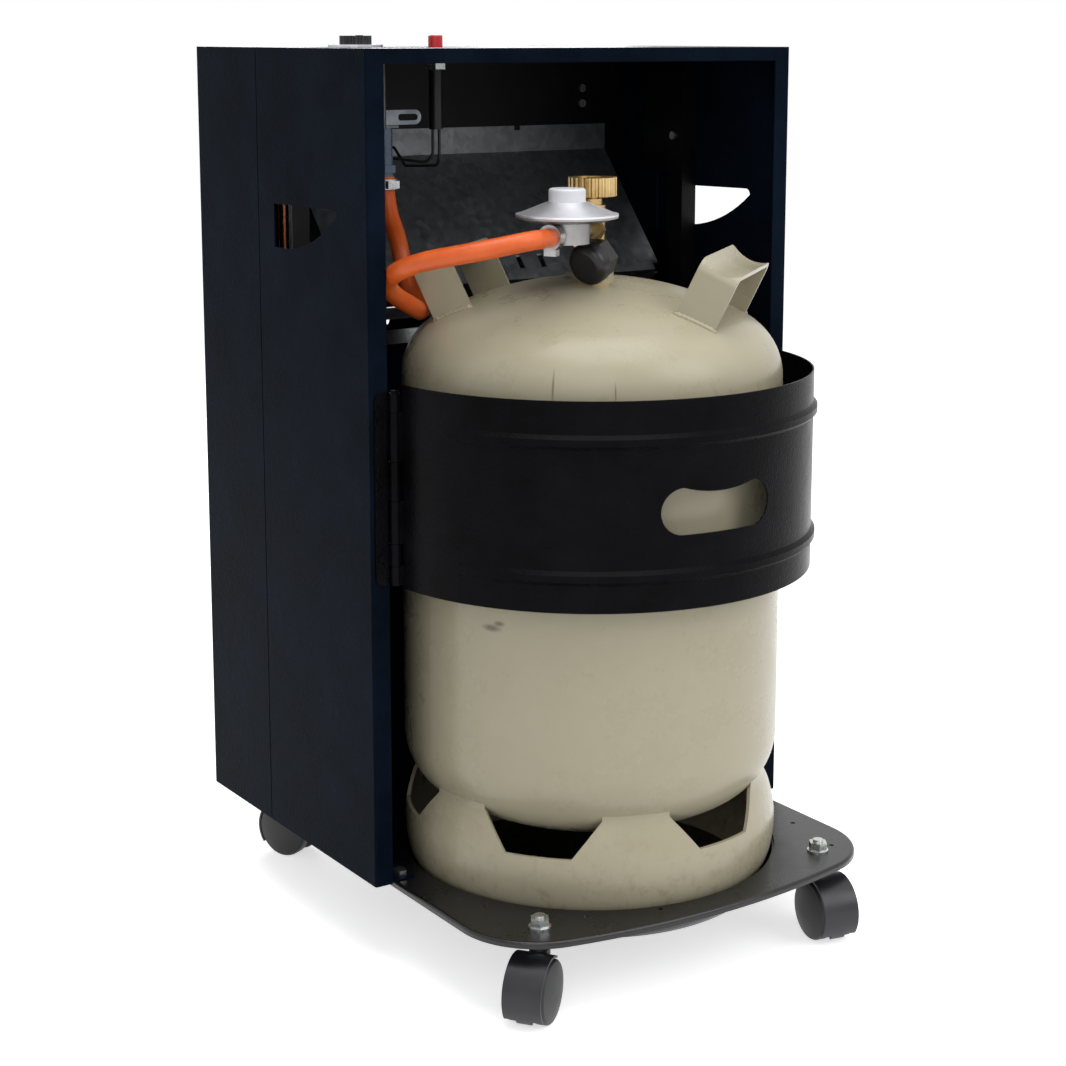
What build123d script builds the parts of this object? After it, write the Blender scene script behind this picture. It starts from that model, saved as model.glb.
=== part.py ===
from build123d import *
from math import cos, sin, tan, radians, degrees, atan2, sqrt, hypot
import os

# Portable gas cabinet heater with its gas bottle behind it. Millimetres, Z up, floor at z = 0.
# The radiant front faces -Y, the bottle stands at +Y. The origin is on the floor below the middle.

os.makedirs("parts", exist_ok=True)

# ---------------------------------------------------------------- cabinet
band_to_wall = 23.3
front_section_depth = 110.0
rear_section_depth = 177.0
plate_top_z = 66.0
cabinet_height = 637.5
sheet = 1.2
bend_radius = 2.0
seam_gap = 1.2
side_lip = 15.0
top_lip = 11.0
foot_flange = 36.0

# ---------------------------------------------------------------- retaining band
band_clearance = 24.5
band_height = 155.5
band_bottom_z = 302.0
bead_proud = 3.0
bead_height = 11.0
bead_inset = 27.0
bead_start_angle = 22.0

# ---------------------------------------------------------------- front guard
guard_proud = 10.0
guard_wire = 4.0
guard_frame = 6.0
guard_wire_count = 9

bottle_radius = 150.0
band_radius = bottle_radius + band_clearance + sheet
cabinet_width = 2 * (band_radius + band_to_wall)
cabinet_depth = front_section_depth + rear_section_depth
half_width = cabinet_width / 2
cabinet_bottom_z = plate_top_z
cabinet_top_z = plate_top_z + cabinet_height
# The rear plane of the cabinet stands so that the whole heater is centred on the origin.
rear_y = (cabinet_depth + guard_proud - band_radius - bead_proud) / 2
front_y = rear_y - cabinet_depth
seam_y = rear_y - rear_section_depth
wall_inside_x = half_width - sheet

# ---------------------------------------------------------------- base
plate_sheet = 2.0
plate_half_width = half_width - 18.0
plate_rear_reach = bottle_radius + 26.0
plate_rear_bow = 28.6
plate_front_setback = 7.0
plate_corner = 65.0
plate_rim = 5.0
pan_radius = bottle_radius + 1.0
pan_depth = 27.0
pan_wall = 1.5
pan_slope = 10.5
pan_edge = 3.5

# ---------------------------------------------------------------- bottle
bottle_wall = 2.5
bottle_behind = 2.0
shoulder_z = 450.6
bottle_waist_z = 165.0
knuckle_radius = 52.4
crown_radius = 259.8
foot_wall = 3.0
window_count = 6
window_centre_angle = 39.5
window_half_top = 46.4
window_half_bottom = 26.0
window_low = 38.0
window_high = 66.0
neck_radius = 17.0
neck_height = 7.0
neck_bore = 9.9
bottle_y = rear_y + bottle_behind

# ---------------------------------------------------------------- controls in the top tray
tray_depth = 11.0
tray_x = (half_width - 161.0, half_width - 17.0)
tray_front = 145.0
tray_rear = 75.0
controls_inset = 110.0
knob_x = half_width - 53.0
piezo_x = half_width - 125.0
tray_z = cabinet_top_z - tray_depth
controls_y = rear_y - controls_inset

running_fit = 0.05

# bolts that hold the cabinet on the base plate
bolt_x = half_width - 28.0
bolt_insets = (12.0, 262.0)
bolt_hole_radius = 3.1
bolt_spots = [(side * bolt_x, rear_y - inset) for side in (1, -1) for inset in bolt_insets]


def save(piece, node_name):
    """Labels one finished piece and writes it as its own file."""
    piece.label = node_name
    export_step(piece, f"parts/{node_name}.step")


# =================================================================== front section
window_half_width = 140.0
window_bottom_z = 452.0
window_top_z = 640.0
window_corner = 12.0
top_slot_length = 44.0
top_slot_width = 4.0
top_slot_pitch = 15.4
top_slot_rows = 4

front_end_y = seam_y - seam_gap / 2
front_section_y = (front_y + front_end_y) / 2
front_section_length = front_end_y - front_y

with BuildPart() as front_casing:
    with BuildSketch(Plane.XY.offset(cabinet_bottom_z)):
        with Locations((0, front_section_y)):
            Rectangle(cabinet_width, front_section_length)
    extrude(amount=cabinet_height)
    fillet(front_casing.edges().filter_by(Axis.Z).group_by(Axis.Y)[0], bend_radius)
    with BuildSketch(Plane.XY.offset(cabinet_bottom_z + sheet)):
        with Locations((0, front_section_y + sheet / 2)):
            Rectangle(cabinet_width - 2 * sheet, front_section_length - sheet)
    extrude(amount=cabinet_height - 2 * sheet, mode=Mode.SUBTRACT)
    # the floor is open except for a flange along the front and both sides
    with BuildSketch(Plane.XY.offset(cabinet_bottom_z)):
        with Locations((0, front_section_y + foot_flange / 2)):
            Rectangle(cabinet_width - 2 * foot_flange, front_section_length - foot_flange)
    extrude(amount=sheet, mode=Mode.SUBTRACT)
    # radiant window
    with BuildSketch(Plane.XZ.offset(-front_y - 2 * sheet)):
        with Locations((0, (window_bottom_z + window_top_z) / 2)):
            RectangleRounded(2 * window_half_width, window_top_z - window_bottom_z, window_corner)
    extrude(amount=3 * sheet, mode=Mode.SUBTRACT)
    # hot air slots in the top
    with BuildSketch(Plane.XY.offset(cabinet_top_z - 2 * sheet)):
        with Locations((0, front_section_y)):
            with GridLocations(1.6 * top_slot_length, top_slot_pitch, 4, top_slot_rows):
                SlotOverall(top_slot_length, top_slot_width)
    extrude(amount=3 * sheet, mode=Mode.SUBTRACT)
    with Locations(*[(x, y, cabinet_bottom_z) for x, y in bolt_spots if y < seam_y]):
        Cylinder(radius=bolt_hole_radius, height=4 * sheet, mode=Mode.SUBTRACT)
save(front_casing.part, "front_casing")

# =================================================================== rear section
hole_front = 150.0
hole_tip = 47.0
hole_low_z = 548.5
hole_high_z = 584.5
hole_tip_drop = 5.0
latch_slot_width = 4.0
latch_slot_height = 30.0
latch_x = -(half_width - 9.5)
latch_z = band_bottom_z + band_height / 2

rear_start_y = seam_y + seam_gap / 2
rear_section_y = (rear_start_y + rear_y) / 2
rear_section_length = rear_y - rear_start_y


def hand_hole_outline():
    """The leaf-shaped hand hole: straight front edge, flat top, round tip, swept underside."""
    front = (rear_y - hole_front, hole_low_z)
    front_top = (rear_y - hole_front, hole_high_z - 2)
    top_end = (rear_y - hole_tip - hole_tip_drop, hole_high_z)
    tip = (rear_y - hole_tip, hole_high_z - hole_tip_drop)
    belly = (rear_y - 88.0, hole_low_z + 8.5)
    low_end = (rear_y - 132.0, hole_low_z)
    Polyline(low_end, front, front_top, top_end)
    RadiusArc(top_end, tip, hole_tip_drop)
    ThreePointArc(tip, belly, low_end)


with BuildPart() as rear_casing:
    with BuildSketch(Plane.XY.offset(cabinet_bottom_z)):
        with Locations((0, rear_section_y)):
            Rectangle(cabinet_width, rear_section_length)
    extrude(amount=cabinet_height)
    fillet(rear_casing.edges().filter_by(Axis.Z).group_by(Axis.Y)[-1], bend_radius)
    with BuildSketch(Plane.XY.offset(cabinet_bottom_z + sheet)):
        with Locations((0, rear_section_y - sheet / 2)):
            Rectangle(cabinet_width - 2 * sheet, rear_section_length - sheet)
    extrude(amount=cabinet_height - 2 * sheet, mode=Mode.SUBTRACT)
    # rear opening, which leaves a lip at both sides and at the top
    with BuildSketch(Plane.XZ.offset(-rear_y)):
        with Locations((0, (cabinet_bottom_z + cabinet_top_z - top_lip) / 2)):
            Rectangle(cabinet_width - 2 * side_lip, cabinet_height - top_lip)
    extrude(amount=2 * sheet, mode=Mode.SUBTRACT)
    # the floor is open except for a flange along both sides
    with BuildSketch(Plane.XY.offset(cabinet_bottom_z)):
        with Locations((0, rear_section_y)):
            Rectangle(cabinet_width - 2 * foot_flange, rear_section_length)
    extrude(amount=sheet, mode=Mode.SUBTRACT)
    # hand holes through both sides
    with BuildSketch(Plane.YZ.offset(-half_width - sheet)):
        with BuildLine():
            hand_hole_outline()
        make_face()
    extrude(amount=cabinet_width + 2 * sheet, mode=Mode.SUBTRACT)
    # sunk tray for the controls
    with BuildSketch(Plane.XY.offset(tray_z - sheet)):
        with Locations(((tray_x[0] + tray_x[1]) / 2, rear_y - (tray_front + tray_rear) / 2)):
            Rectangle(tray_x[1] - tray_x[0], tray_front - tray_rear)
    extrude(amount=tray_depth)
    with BuildSketch(Plane.XY.offset(tray_z)):
        with Locations(((tray_x[0] + tray_x[1]) / 2, rear_y - (tray_front + tray_rear) / 2)):
            Rectangle(tray_x[1] - tray_x[0] - 2 * sheet, tray_front - tray_rear - 2 * sheet)
    extrude(amount=tray_depth, mode=Mode.SUBTRACT)
    # holes for the valve spindle and the igniter
    with Locations((knob_x, controls_y, tray_z), (piezo_x, controls_y, tray_z)):
        Cylinder(radius=5.5, height=4 * sheet, mode=Mode.SUBTRACT)
    with Locations(*[(x, y, cabinet_bottom_z) for x, y in bolt_spots if y > seam_y]):
        Cylinder(radius=bolt_hole_radius, height=4 * sheet, mode=Mode.SUBTRACT)
    # slot for the tongue of the retaining band
    with BuildSketch(Plane.XZ.offset(-rear_y)):
        with Locations((latch_x, latch_z)):
            Rectangle(latch_slot_width, latch_slot_height)
    extrude(amount=2 * sheet, mode=Mode.SUBTRACT)
save(rear_casing.part, "rear_casing")

# =================================================================== seam rails inside both walls
rail_turn = 122.6
rail_depth = 15.0
rail_return = 20.0
rail_wall_reach = 196.0
rail_sheet = 1.0
rail_low_z = cabinet_bottom_z + sheet + 1
rail_high_z = cabinet_top_z - 13.5
rail_notch_low_z = 540.0
rail_notch_high_z = 592.0
screw_shank = 1.5
screw_head = 3.5
screw_head_height = 2.0
screw_hole = 1.6
rail_screw_back = 134.5
rail_screw_heights = (626.6, 380.0, 130.0)

rail_height = rail_high_z - rail_low_z
rail_middle_z = (rail_low_z + rail_high_z) / 2
rail_face_x = wall_inside_x - rail_depth

with BuildPart() as seam_rails:
    with Locations((wall_inside_x - rail_depth / 2, rear_y - rail_turn + rail_sheet / 2, rail_middle_z)):
        Box(rail_depth, rail_sheet, rail_height)
    with Locations((rail_face_x + rail_sheet / 2, rear_y - rail_turn - rail_return / 2, rail_middle_z)):
        Box(rail_sheet, rail_return, rail_height)
    with Locations((wall_inside_x - rail_sheet / 2, rear_y - (rail_turn + rail_wall_reach) / 2, rail_middle_z)):
        Box(rail_sheet, rail_wall_reach - rail_turn, rail_height)
    # the part on the wall is cut away where the hand hole is
    with Locations((wall_inside_x, rear_y - (rail_turn + rail_wall_reach) / 2,
                    (rail_notch_low_z + rail_notch_high_z) / 2)):
        Box(3 * rail_sheet, rail_wall_reach - rail_turn, rail_notch_high_z - rail_notch_low_z,
            mode=Mode.SUBTRACT)
    for height in rail_screw_heights:
        with Locations((rail_face_x, rear_y - rail_screw_back, height)):
            Cylinder(radius=screw_hole, height=4 * rail_sheet, rotation=(0, 90, 0), mode=Mode.SUBTRACT)
    mirror(about=Plane.YZ)
save(seam_rails.part, "seam_rails")

# =================================================================== inner back panel and heat shield
panel_inset = 228.0
panel_sheet = 1.0
panel_bottom_z = 600.0
panel_screw_x = -150.0
panel_screw_heights = (cabinet_top_z - 37.5, cabinet_top_z - 51.0)
service_x = (knob_x - 10.0, knob_x + 28.0)
service_z = (tray_z - 44.5, tray_z - 8.5)
panel_top_z = cabinet_top_z - sheet

with BuildPart() as inner_back_panel:
    with Locations((0, rear_y - panel_inset - panel_sheet / 2, (panel_bottom_z + panel_top_z) / 2)):
        Box(2 * wall_inside_x, panel_sheet, panel_top_z - panel_bottom_z)
    # the gas pipe and the leads pass through here
    with Locations((sum(service_x) / 2, rear_y - panel_inset, sum(service_z) / 2)):
        Box(service_x[1] - service_x[0], 4 * panel_sheet, service_z[1] - service_z[0], mode=Mode.SUBTRACT)
    for height in panel_screw_heights:
        with Locations((panel_screw_x, rear_y - panel_inset, height)):
            Cylinder(radius=screw_hole, height=4 * panel_sheet, rotation=(90, 0, 0), mode=Mode.SUBTRACT)
save(inner_back_panel.part, "inner_back_panel")

shield_left_x = 24.0 - half_width
shield_right_x = half_width - 56.0
shield_flange_top_z = 634.0
shield_bend_z = 611.0
shield_foot = (141.5, 509.6)
shield_toe = (166.0, 492.0)
shield_slot_xs = (-33.5, -55.5)
shield_slot_back = 151.5
shield_slot_run = 9.0
shield_slot_width = 5.0
shield_notch_x = -80.0
shield_length = shield_right_x - shield_left_x

with BuildPart() as heat_shield:
    with BuildSketch(Plane.YZ.offset(shield_left_x)):
        with BuildLine():
            Polyline((rear_y - panel_inset, shield_flange_top_z),
                     (rear_y - panel_inset, shield_bend_z),
                     (rear_y - shield_foot[0], shield_foot[1]),
                     (rear_y - shield_toe[0], shield_toe[1]),
                     (rear_y - shield_toe[0] + 0.6, shield_toe[1] - 0.8),
                     (rear_y - shield_foot[0] + 1.5, shield_foot[1]),
                     (rear_y - panel_inset + 1.0, shield_bend_z + 0.4),
                     (rear_y - panel_inset + 1.0, shield_flange_top_z),
                     close=True)
        make_face()
    extrude(amount=shield_length)
    # cut corners at the lower bend, and a nick in the upper edge
    for corner_x in (shield_left_x, shield_right_x):
        with Locations((corner_x, rear_y - shield_foot[0], shield_foot[1])):
            Box(12, 8, 14, mode=Mode.SUBTRACT)
    with Locations((shield_notch_x, rear_y - panel_inset, shield_flange_top_z)):
        Box(6, 6, 8, mode=Mode.SUBTRACT)
    for slot_x in shield_slot_xs:
        with Locations((slot_x, rear_y - shield_slot_back, shield_foot[1] + 12)):
            Box(shield_slot_width, shield_slot_run, 40, mode=Mode.SUBTRACT)
save(heat_shield.part, "heat_shield")

# =================================================================== burner
housing_width = 252.0
housing_height = 130.0
housing_low_z = 490.0
housing_front = 262.0
housing_wall = 1.2
plaque_width = 80.0
plaque_height = 124.0
plaque_thickness = 12.8
plaque_fit = 0.1
plaque_rib = 3.0
plaque_ledge = 4.0
plaque_pitch = plaque_width + 2 * plaque_fit + plaque_rib
port_radius = 5.5
housing_middle_z = housing_low_z + housing_height / 2
housing_back = panel_inset + panel_sheet
housing_depth = housing_front - housing_back
pocket_depth = plaque_thickness + plaque_fit
plenum_depth = housing_depth - pocket_depth - housing_wall
jet_y = rear_y - housing_back - plenum_depth / 2 - housing_wall

with BuildPart() as burner_housing:
    with Locations((0, rear_y - (housing_front + housing_back) / 2, housing_middle_z)):
        Box(housing_width, housing_depth, housing_height)
    # three pockets for the plaques
    with Locations((0, rear_y - housing_front + pocket_depth / 2, housing_middle_z)):
        with GridLocations(plaque_pitch, 1, 3, 1):
            Box(plaque_width + 2 * plaque_fit, pocket_depth, plaque_height + 2 * plaque_fit,
                mode=Mode.SUBTRACT)
    # gas space behind the plaques
    with Locations((0, rear_y - housing_back - housing_wall - plenum_depth / 2, housing_middle_z)):
        Box(3 * plaque_pitch - plaque_rib - 2 * plaque_ledge, plenum_depth,
            plaque_height - 2 * plaque_ledge, mode=Mode.SUBTRACT)
    # ports for the jets
    with Locations((0, jet_y, housing_low_z)):
        with GridLocations(plaque_pitch, 1, 3, 1):
            Cylinder(radius=port_radius, height=20, mode=Mode.SUBTRACT)
save(burner_housing.part, "burner_housing")

with BuildPart() as ceramic_plaques:
    with Locations((0, rear_y - housing_front + plaque_fit / 2 + plaque_thickness / 2, housing_middle_z)):
        with GridLocations(plaque_pitch, 1, 3, 1):
            Box(plaque_width, plaque_thickness, plaque_height)
save(ceramic_plaques.part, "ceramic_plaques")

reflector_sheet = 1.0
reflector_margin = 4.0
reflector_flange = 12.0
ring_lap = 2.0
pilot_x = 42.0
pilot_opening = 40.0
window_middle_z = (window_bottom_z + window_top_z) / 2
window_height = window_top_z - window_bottom_z
reflector_front_y = front_y + sheet
mouth_y = reflector_front_y + reflector_sheet
throat_y = rear_y - housing_front - reflector_sheet
throat_width = housing_width - 2 * ring_lap
throat_height = housing_height - 2 * ring_lap

with BuildPart() as reflector:
    # sloping sides between the window and the burner
    with BuildSketch(Plane.XZ.offset(-mouth_y)):
        with Locations((0, window_middle_z)):
            Rectangle(2 * window_half_width - reflector_margin + 2 * reflector_sheet,
                      window_height - reflector_margin + 2 * reflector_sheet)
    with BuildSketch(Plane.XZ.offset(-throat_y)):
        with Locations((0, housing_middle_z)):
            Rectangle(throat_width + 2 * reflector_sheet, throat_height + 2 * reflector_sheet)
    loft()
    with BuildSketch(Plane.XZ.offset(-mouth_y)):
        with Locations((0, window_middle_z)):
            Rectangle(2 * window_half_width - reflector_margin, window_height - reflector_margin)
    with BuildSketch(Plane.XZ.offset(-throat_y)):
        with Locations((0, housing_middle_z)):
            Rectangle(throat_width, throat_height)
    loft(mode=Mode.SUBTRACT)
    # flange behind the cabinet front
    with BuildSketch(Plane.XZ.offset(-reflector_front_y)):
        with Locations((0, window_middle_z)):
            Rectangle(2 * window_half_width + 2 * reflector_flange, window_height + 2 * reflector_flange)
            Rectangle(2 * window_half_width - reflector_margin, window_height - reflector_margin,
                      mode=Mode.SUBTRACT)
    extrude(amount=-reflector_sheet)
    # ring that holds the plaques in the housing
    with BuildSketch(Plane.XZ.offset(-throat_y)):
        with Locations((0, housing_middle_z)):
            Rectangle(housing_width + 6, housing_height + 6)
            Rectangle(throat_width, throat_height, mode=Mode.SUBTRACT)
    extrude(amount=-reflector_sheet)
    # opening for the pilot
    with Locations((pilot_x, rear_y - 272, 472)):
        Box(pilot_opening, 20, 44, mode=Mode.SUBTRACT)
save(reflector.part, "reflector")

manifold_size = 10.0
manifold_left_x = -110.0
gas_pipe_x = knob_x - 1.0
manifold_right_x = gas_pipe_x + 6.0
manifold_top_z = housing_low_z - 10.0
jet_radius = 4.0
jet_top_z = housing_low_z + 6.0
gas_pipe_radius = 4.0
gas_pipe_z = tray_z - 32.5
valve_front = 128.0

with BuildPart() as burner_manifold:
    with Locations(((manifold_left_x + manifold_right_x) / 2, jet_y, manifold_top_z - manifold_size / 2)):
        Box(manifold_right_x - manifold_left_x, manifold_size, manifold_size)
    # lugs that hang it from the housing
    for lug_x in (manifold_left_x + manifold_size / 2, -manifold_left_x - manifold_size / 2):
        with Locations((lug_x, jet_y, (manifold_top_z + housing_low_z) / 2)):
            Box(manifold_size, manifold_size, housing_low_z - manifold_top_z)
    # jets
    with Locations((0, jet_y, (manifold_top_z - 2 + jet_top_z) / 2)):
        with GridLocations(plaque_pitch, 1, 3, 1):
            Cylinder(radius=jet_radius, height=jet_top_z - manifold_top_z + 2)
save(burner_manifold.part, "burner_manifold")


def bent_rod(points, bends, rod_radius):
    """A round rod or tube along straight runs that are joined by arcs."""
    with BuildPart() as rod:
        with BuildLine() as route:
            FilletPolyline(*points, radius=bends)
        with BuildSketch(Plane(origin=route.line @ 0, z_dir=route.line % 0)):
            Circle(rod_radius)
        sweep()
    return rod.part


burner_pipe = bent_rod(
    [(gas_pipe_x, rear_y - valve_front, gas_pipe_z),
     (gas_pipe_x, jet_y, gas_pipe_z),
     (gas_pipe_x, jet_y, manifold_top_z)],
    12, gas_pipe_radius)
save(burner_pipe, "burner_pipe")

pilot_y = rear_y - 272.0
pilot_plate = 1.5
pilot_tube_radius = 3.5
pilot_line_radius = 2.0
pilot_line_x = knob_x + 10.0
pilot_line_z = tray_z - 20.5
thermo_radius = 1.6
thermo_line_x = knob_x + 17.5
thermo_line_z = tray_z - 28.5
spark_radius = 2.5
lead_radius = 1.2
line_bend = 10.0
pilot_tube_x = pilot_x + 8
thermo_x = pilot_x
spark_x = pilot_x - 8
pilot_floor_z = housing_low_z - pilot_plate

with BuildPart() as pilot_burner:
    # plate under the housing, then the flame tube that stands on it
    with Locations((pilot_x, (pilot_y - 6 + rear_y - 245) / 2, pilot_floor_z + pilot_plate / 2)):
        Box(28, 33, pilot_plate)
    with Locations((thermo_x, pilot_y, pilot_floor_z)):
        Cylinder(radius=thermo_radius + 0.1, height=6 * pilot_plate, mode=Mode.SUBTRACT)
    with Locations((spark_x, pilot_y, pilot_floor_z)):
        Cylinder(radius=spark_radius + 0.1, height=6 * pilot_plate, mode=Mode.SUBTRACT)
    with Locations((pilot_tube_x, pilot_y, pilot_floor_z + 8)):
        Cylinder(radius=pilot_tube_radius, height=16)
    add(bent_rod(
        [(pilot_tube_x, pilot_y, pilot_floor_z + 1),
         (pilot_tube_x, pilot_y, 462),
         (pilot_line_x, pilot_y, 462),
         (pilot_line_x, pilot_y, pilot_line_z),
         (pilot_line_x, rear_y - valve_front, pilot_line_z)],
        line_bend, pilot_line_radius))
save(pilot_burner.part, "pilot_burner")

thermocouple = bent_rod(
    [(thermo_x, pilot_y, 507),
     (thermo_x, pilot_y, 455),
     (thermo_line_x, pilot_y, 455),
     (thermo_line_x, pilot_y, thermo_line_z),
     (thermo_line_x, rear_y - valve_front, thermo_line_z)],
    line_bend, thermo_radius)
save(thermocouple, "thermocouple")

with BuildPart() as ignition_electrode:
    with Locations((spark_x, pilot_y, 486)):
        Cylinder(radius=spark_radius, height=24)
    with Locations((spark_x, pilot_y, 502)):
        Cylinder(radius=0.9, height=9)
save(ignition_electrode.part, "ignition_electrode")

# =================================================================== wire guard
guard_half_width = window_half_width + 6
guard_low_z = window_bottom_z - 6
guard_high_z = window_top_z + 6
guard_y = front_y - guard_proud + guard_frame / 2
guard_corner = 14.0
guard_pitch = (guard_high_z - guard_low_z) / (guard_wire_count + 1)
guard_stay_x = 52.0

with BuildPart() as front_grille:
    with BuildLine() as guard_loop:
        FilletPolyline((guard_half_width, guard_y, guard_low_z),
                       (guard_half_width, guard_y, guard_high_z),
                       (-guard_half_width, guard_y, guard_high_z),
                       (-guard_half_width, guard_y, guard_low_z),
                       radius=guard_corner, close=True)
    with BuildSketch(Plane(origin=guard_loop.line @ 0, z_dir=guard_loop.line % 0)):
        Circle(guard_frame / 2)
    sweep()
    for row in range(guard_wire_count):
        with Locations((0, guard_y, guard_low_z + (row + 1) * guard_pitch)):
            Cylinder(radius=guard_wire / 2, height=2 * guard_half_width, rotation=(0, 90, 0))
    for stay_x in (-guard_stay_x, guard_stay_x):
        with Locations((stay_x, guard_y + guard_wire * 0.7, (guard_low_z + guard_high_z) / 2)):
            Cylinder(radius=guard_wire / 2, height=guard_high_z - guard_low_z)
    # feet that stand on the cabinet front
    for foot_x in (-guard_half_width, guard_half_width):
        for foot_z in (guard_low_z + 1.5 * guard_pitch, guard_high_z - 1.5 * guard_pitch):
            with Locations((foot_x, (guard_y + front_y) / 2, foot_z)):
                Cylinder(radius=guard_frame / 2, height=front_y - guard_y, rotation=(90, 0, 0))
save(front_grille.part, "front_grille")

# =================================================================== valve, knob and igniter
valve_x = (knob_x - 18.0, knob_x + 22.0)
valve_back = 92.0
valve_low_z = tray_z - 51.5
valve_edge = 4.0
spindle_radius = 3.0
spindle_low_z = tray_z - 24.5
spindle_high_z = tray_z + 13.5
push_travel = 3.0
inlet_x = knob_x - 26.5
inlet_y = rear_y - 112.5
inlet_radius = 6.0
inlet_low_z = tray_z - 80.5
hose_top_z = tray_z - 89.5
hose_radius = 7.25
nozzle_radius = 6.6
valve_top_z = tray_z - sheet

with BuildPart() as gas_valve:
    with BuildSketch(Plane.XY.offset(valve_low_z)):
        with Locations((sum(valve_x) / 2, rear_y - (valve_front + valve_back) / 2)):
            RectangleRounded(valve_x[1] - valve_x[0], valve_front - valve_back, valve_edge)
    extrude(amount=valve_top_z - valve_low_z)
    # inlet arm
    with Locations(((valve_x[0] + inlet_x - 7) / 2, inlet_y, valve_low_z + 7)):
        Box(valve_x[0] - inlet_x + 7 + 2, 16, 14)
    # bore for the spindle
    with Locations((knob_x, controls_y, (spindle_low_z - push_travel - 1 + valve_top_z) / 2)):
        Cylinder(radius=spindle_radius + running_fit,
                 height=valve_top_z - spindle_low_z + push_travel + 1, mode=Mode.SUBTRACT)
save(gas_valve.part, "gas_valve")

bracket_sheet = 1.5
bracket_end_x = inlet_x - 20.2
bracket_slot = 12.7
bracket_z = tray_z - 43.0
bracket_radius = 5.75
with BuildPart() as valve_bracket:
    with BuildSketch(Plane.XZ.offset(-(rear_y - 100.0))):
        with Locations((bracket_end_x, bracket_z)):
            Circle(bracket_radius)
        with Locations(((bracket_end_x + valve_x[0]) / 2, bracket_z)):
            Rectangle(valve_x[0] - bracket_end_x, 2 * bracket_radius)
        with Locations((bracket_end_x + bracket_slot / 2, bracket_z)):
            SlotCenterToCenter(bracket_slot, 5.2, mode=Mode.SUBTRACT)
    extrude(amount=bracket_sheet)
save(valve_bracket.part, "valve_bracket")

with BuildPart() as valve_spindle:
    with Locations((knob_x, controls_y, (spindle_low_z + spindle_high_z) / 2)):
        Cylinder(radius=spindle_radius, height=spindle_high_z - spindle_low_z)
save(valve_spindle.part, "valve_spindle")

knob_hub_radius = 9.0
knob_neck_radius = 8.0
knob_cap_radius = 12.5
knob_low_z = tray_z + 4.5
skirt_low_z = tray_z + 12.0
skirt_high_z = skirt_low_z + 1.3
skirt_radius = 21.5
knob_high_z = tray_z + 20.0
flute_count = 14
flute_radius = 1.5

with BuildPart() as control_knob:
    with Locations((knob_x, controls_y, (knob_low_z + skirt_low_z) / 2)):
        Cylinder(radius=knob_hub_radius, height=skirt_low_z - knob_low_z)
    with Locations((knob_x, controls_y, (skirt_low_z + skirt_high_z) / 2)):
        Cylinder(radius=knob_neck_radius, height=skirt_high_z - skirt_low_z)
    with BuildSketch(Plane.XY.offset(skirt_high_z)):
        with Locations((knob_x, controls_y)):
            Circle(knob_cap_radius)
            with PolarLocations(knob_cap_radius + 0.4, flute_count):
                Circle(flute_radius, mode=Mode.SUBTRACT)
    extrude(amount=knob_high_z - skirt_high_z)
    # raised pointer on the top face
    with Locations((knob_x, controls_y + 6, knob_high_z)):
        Box(1.6, 9, 0.8)
    with Locations((knob_x, controls_y, (knob_low_z + spindle_high_z) / 2)):
        Cylinder(radius=spindle_radius + running_fit, height=spindle_high_z - knob_low_z + 0.4,
                 mode=Mode.SUBTRACT)
save(control_knob.part, "control_knob")

with BuildPart() as knob_skirt:
    with BuildSketch(Plane.XY.offset(skirt_low_z)):
        with Locations((knob_x, controls_y)):
            Circle(skirt_radius)
            Circle(knob_neck_radius + running_fit, mode=Mode.SUBTRACT)
    extrude(amount=skirt_high_z - skirt_low_z)
    # turned-down rim
    with BuildSketch(Plane.XY.offset(skirt_low_z - 2.5)):
        with Locations((knob_x, controls_y)):
            Circle(skirt_radius)
            Circle(skirt_radius - 1, mode=Mode.SUBTRACT)
    extrude(amount=2.5)
save(knob_skirt.part, "knob_skirt")

igniter_radius = 5.4
igniter_low_z = tray_z - 53.5
igniter_collar_radius = 8.3
igniter_collar_height = 3.0
button_radius = 5.75
button_low_z = tray_z + 8.0
button_high_z = tray_z + 20.5
button_travel = 4.5
plunger_radius = 2.9
plunger_low_z = tray_z - 27.5
nut_across = 15.0
igniter_nut_height = 5.0

with BuildPart() as piezo_body:
    with Locations((piezo_x, controls_y, (igniter_low_z + tray_z) / 2)):
        Cylinder(radius=igniter_radius, height=tray_z - igniter_low_z)
    with Locations((piezo_x, controls_y, tray_z + igniter_collar_height / 2)):
        Cylinder(radius=igniter_collar_radius, height=igniter_collar_height)
    with Locations((piezo_x, controls_y,
                    (plunger_low_z - button_travel - 1 + tray_z + igniter_collar_height) / 2)):
        Cylinder(radius=plunger_radius + running_fit,
                 height=tray_z + igniter_collar_height - plunger_low_z + button_travel + 1,
                 mode=Mode.SUBTRACT)
save(piezo_body.part, "piezo_body")

with BuildPart() as piezo_button:
    with Locations((piezo_x, controls_y, (button_low_z + button_high_z) / 2)):
        Cylinder(radius=button_radius, height=button_high_z - button_low_z)
    fillet(piezo_button.edges().group_by(Axis.Z)[-1], 1.2)
    with Locations((piezo_x, controls_y, (plunger_low_z + button_low_z) / 2)):
        Cylinder(radius=plunger_radius, height=button_low_z - plunger_low_z)
save(piezo_button.part, "piezo_button")

with BuildPart() as piezo_nut:
    with BuildSketch(Plane.XY.offset(valve_top_z - igniter_nut_height)):
        with Locations((piezo_x, controls_y)):
            RegularPolygon(radius=nut_across / 2, side_count=6, major_radius=False)
            Circle(igniter_radius + running_fit, mode=Mode.SUBTRACT)
    extrude(amount=igniter_nut_height)
save(piezo_nut.part, "piezo_nut")

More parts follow.
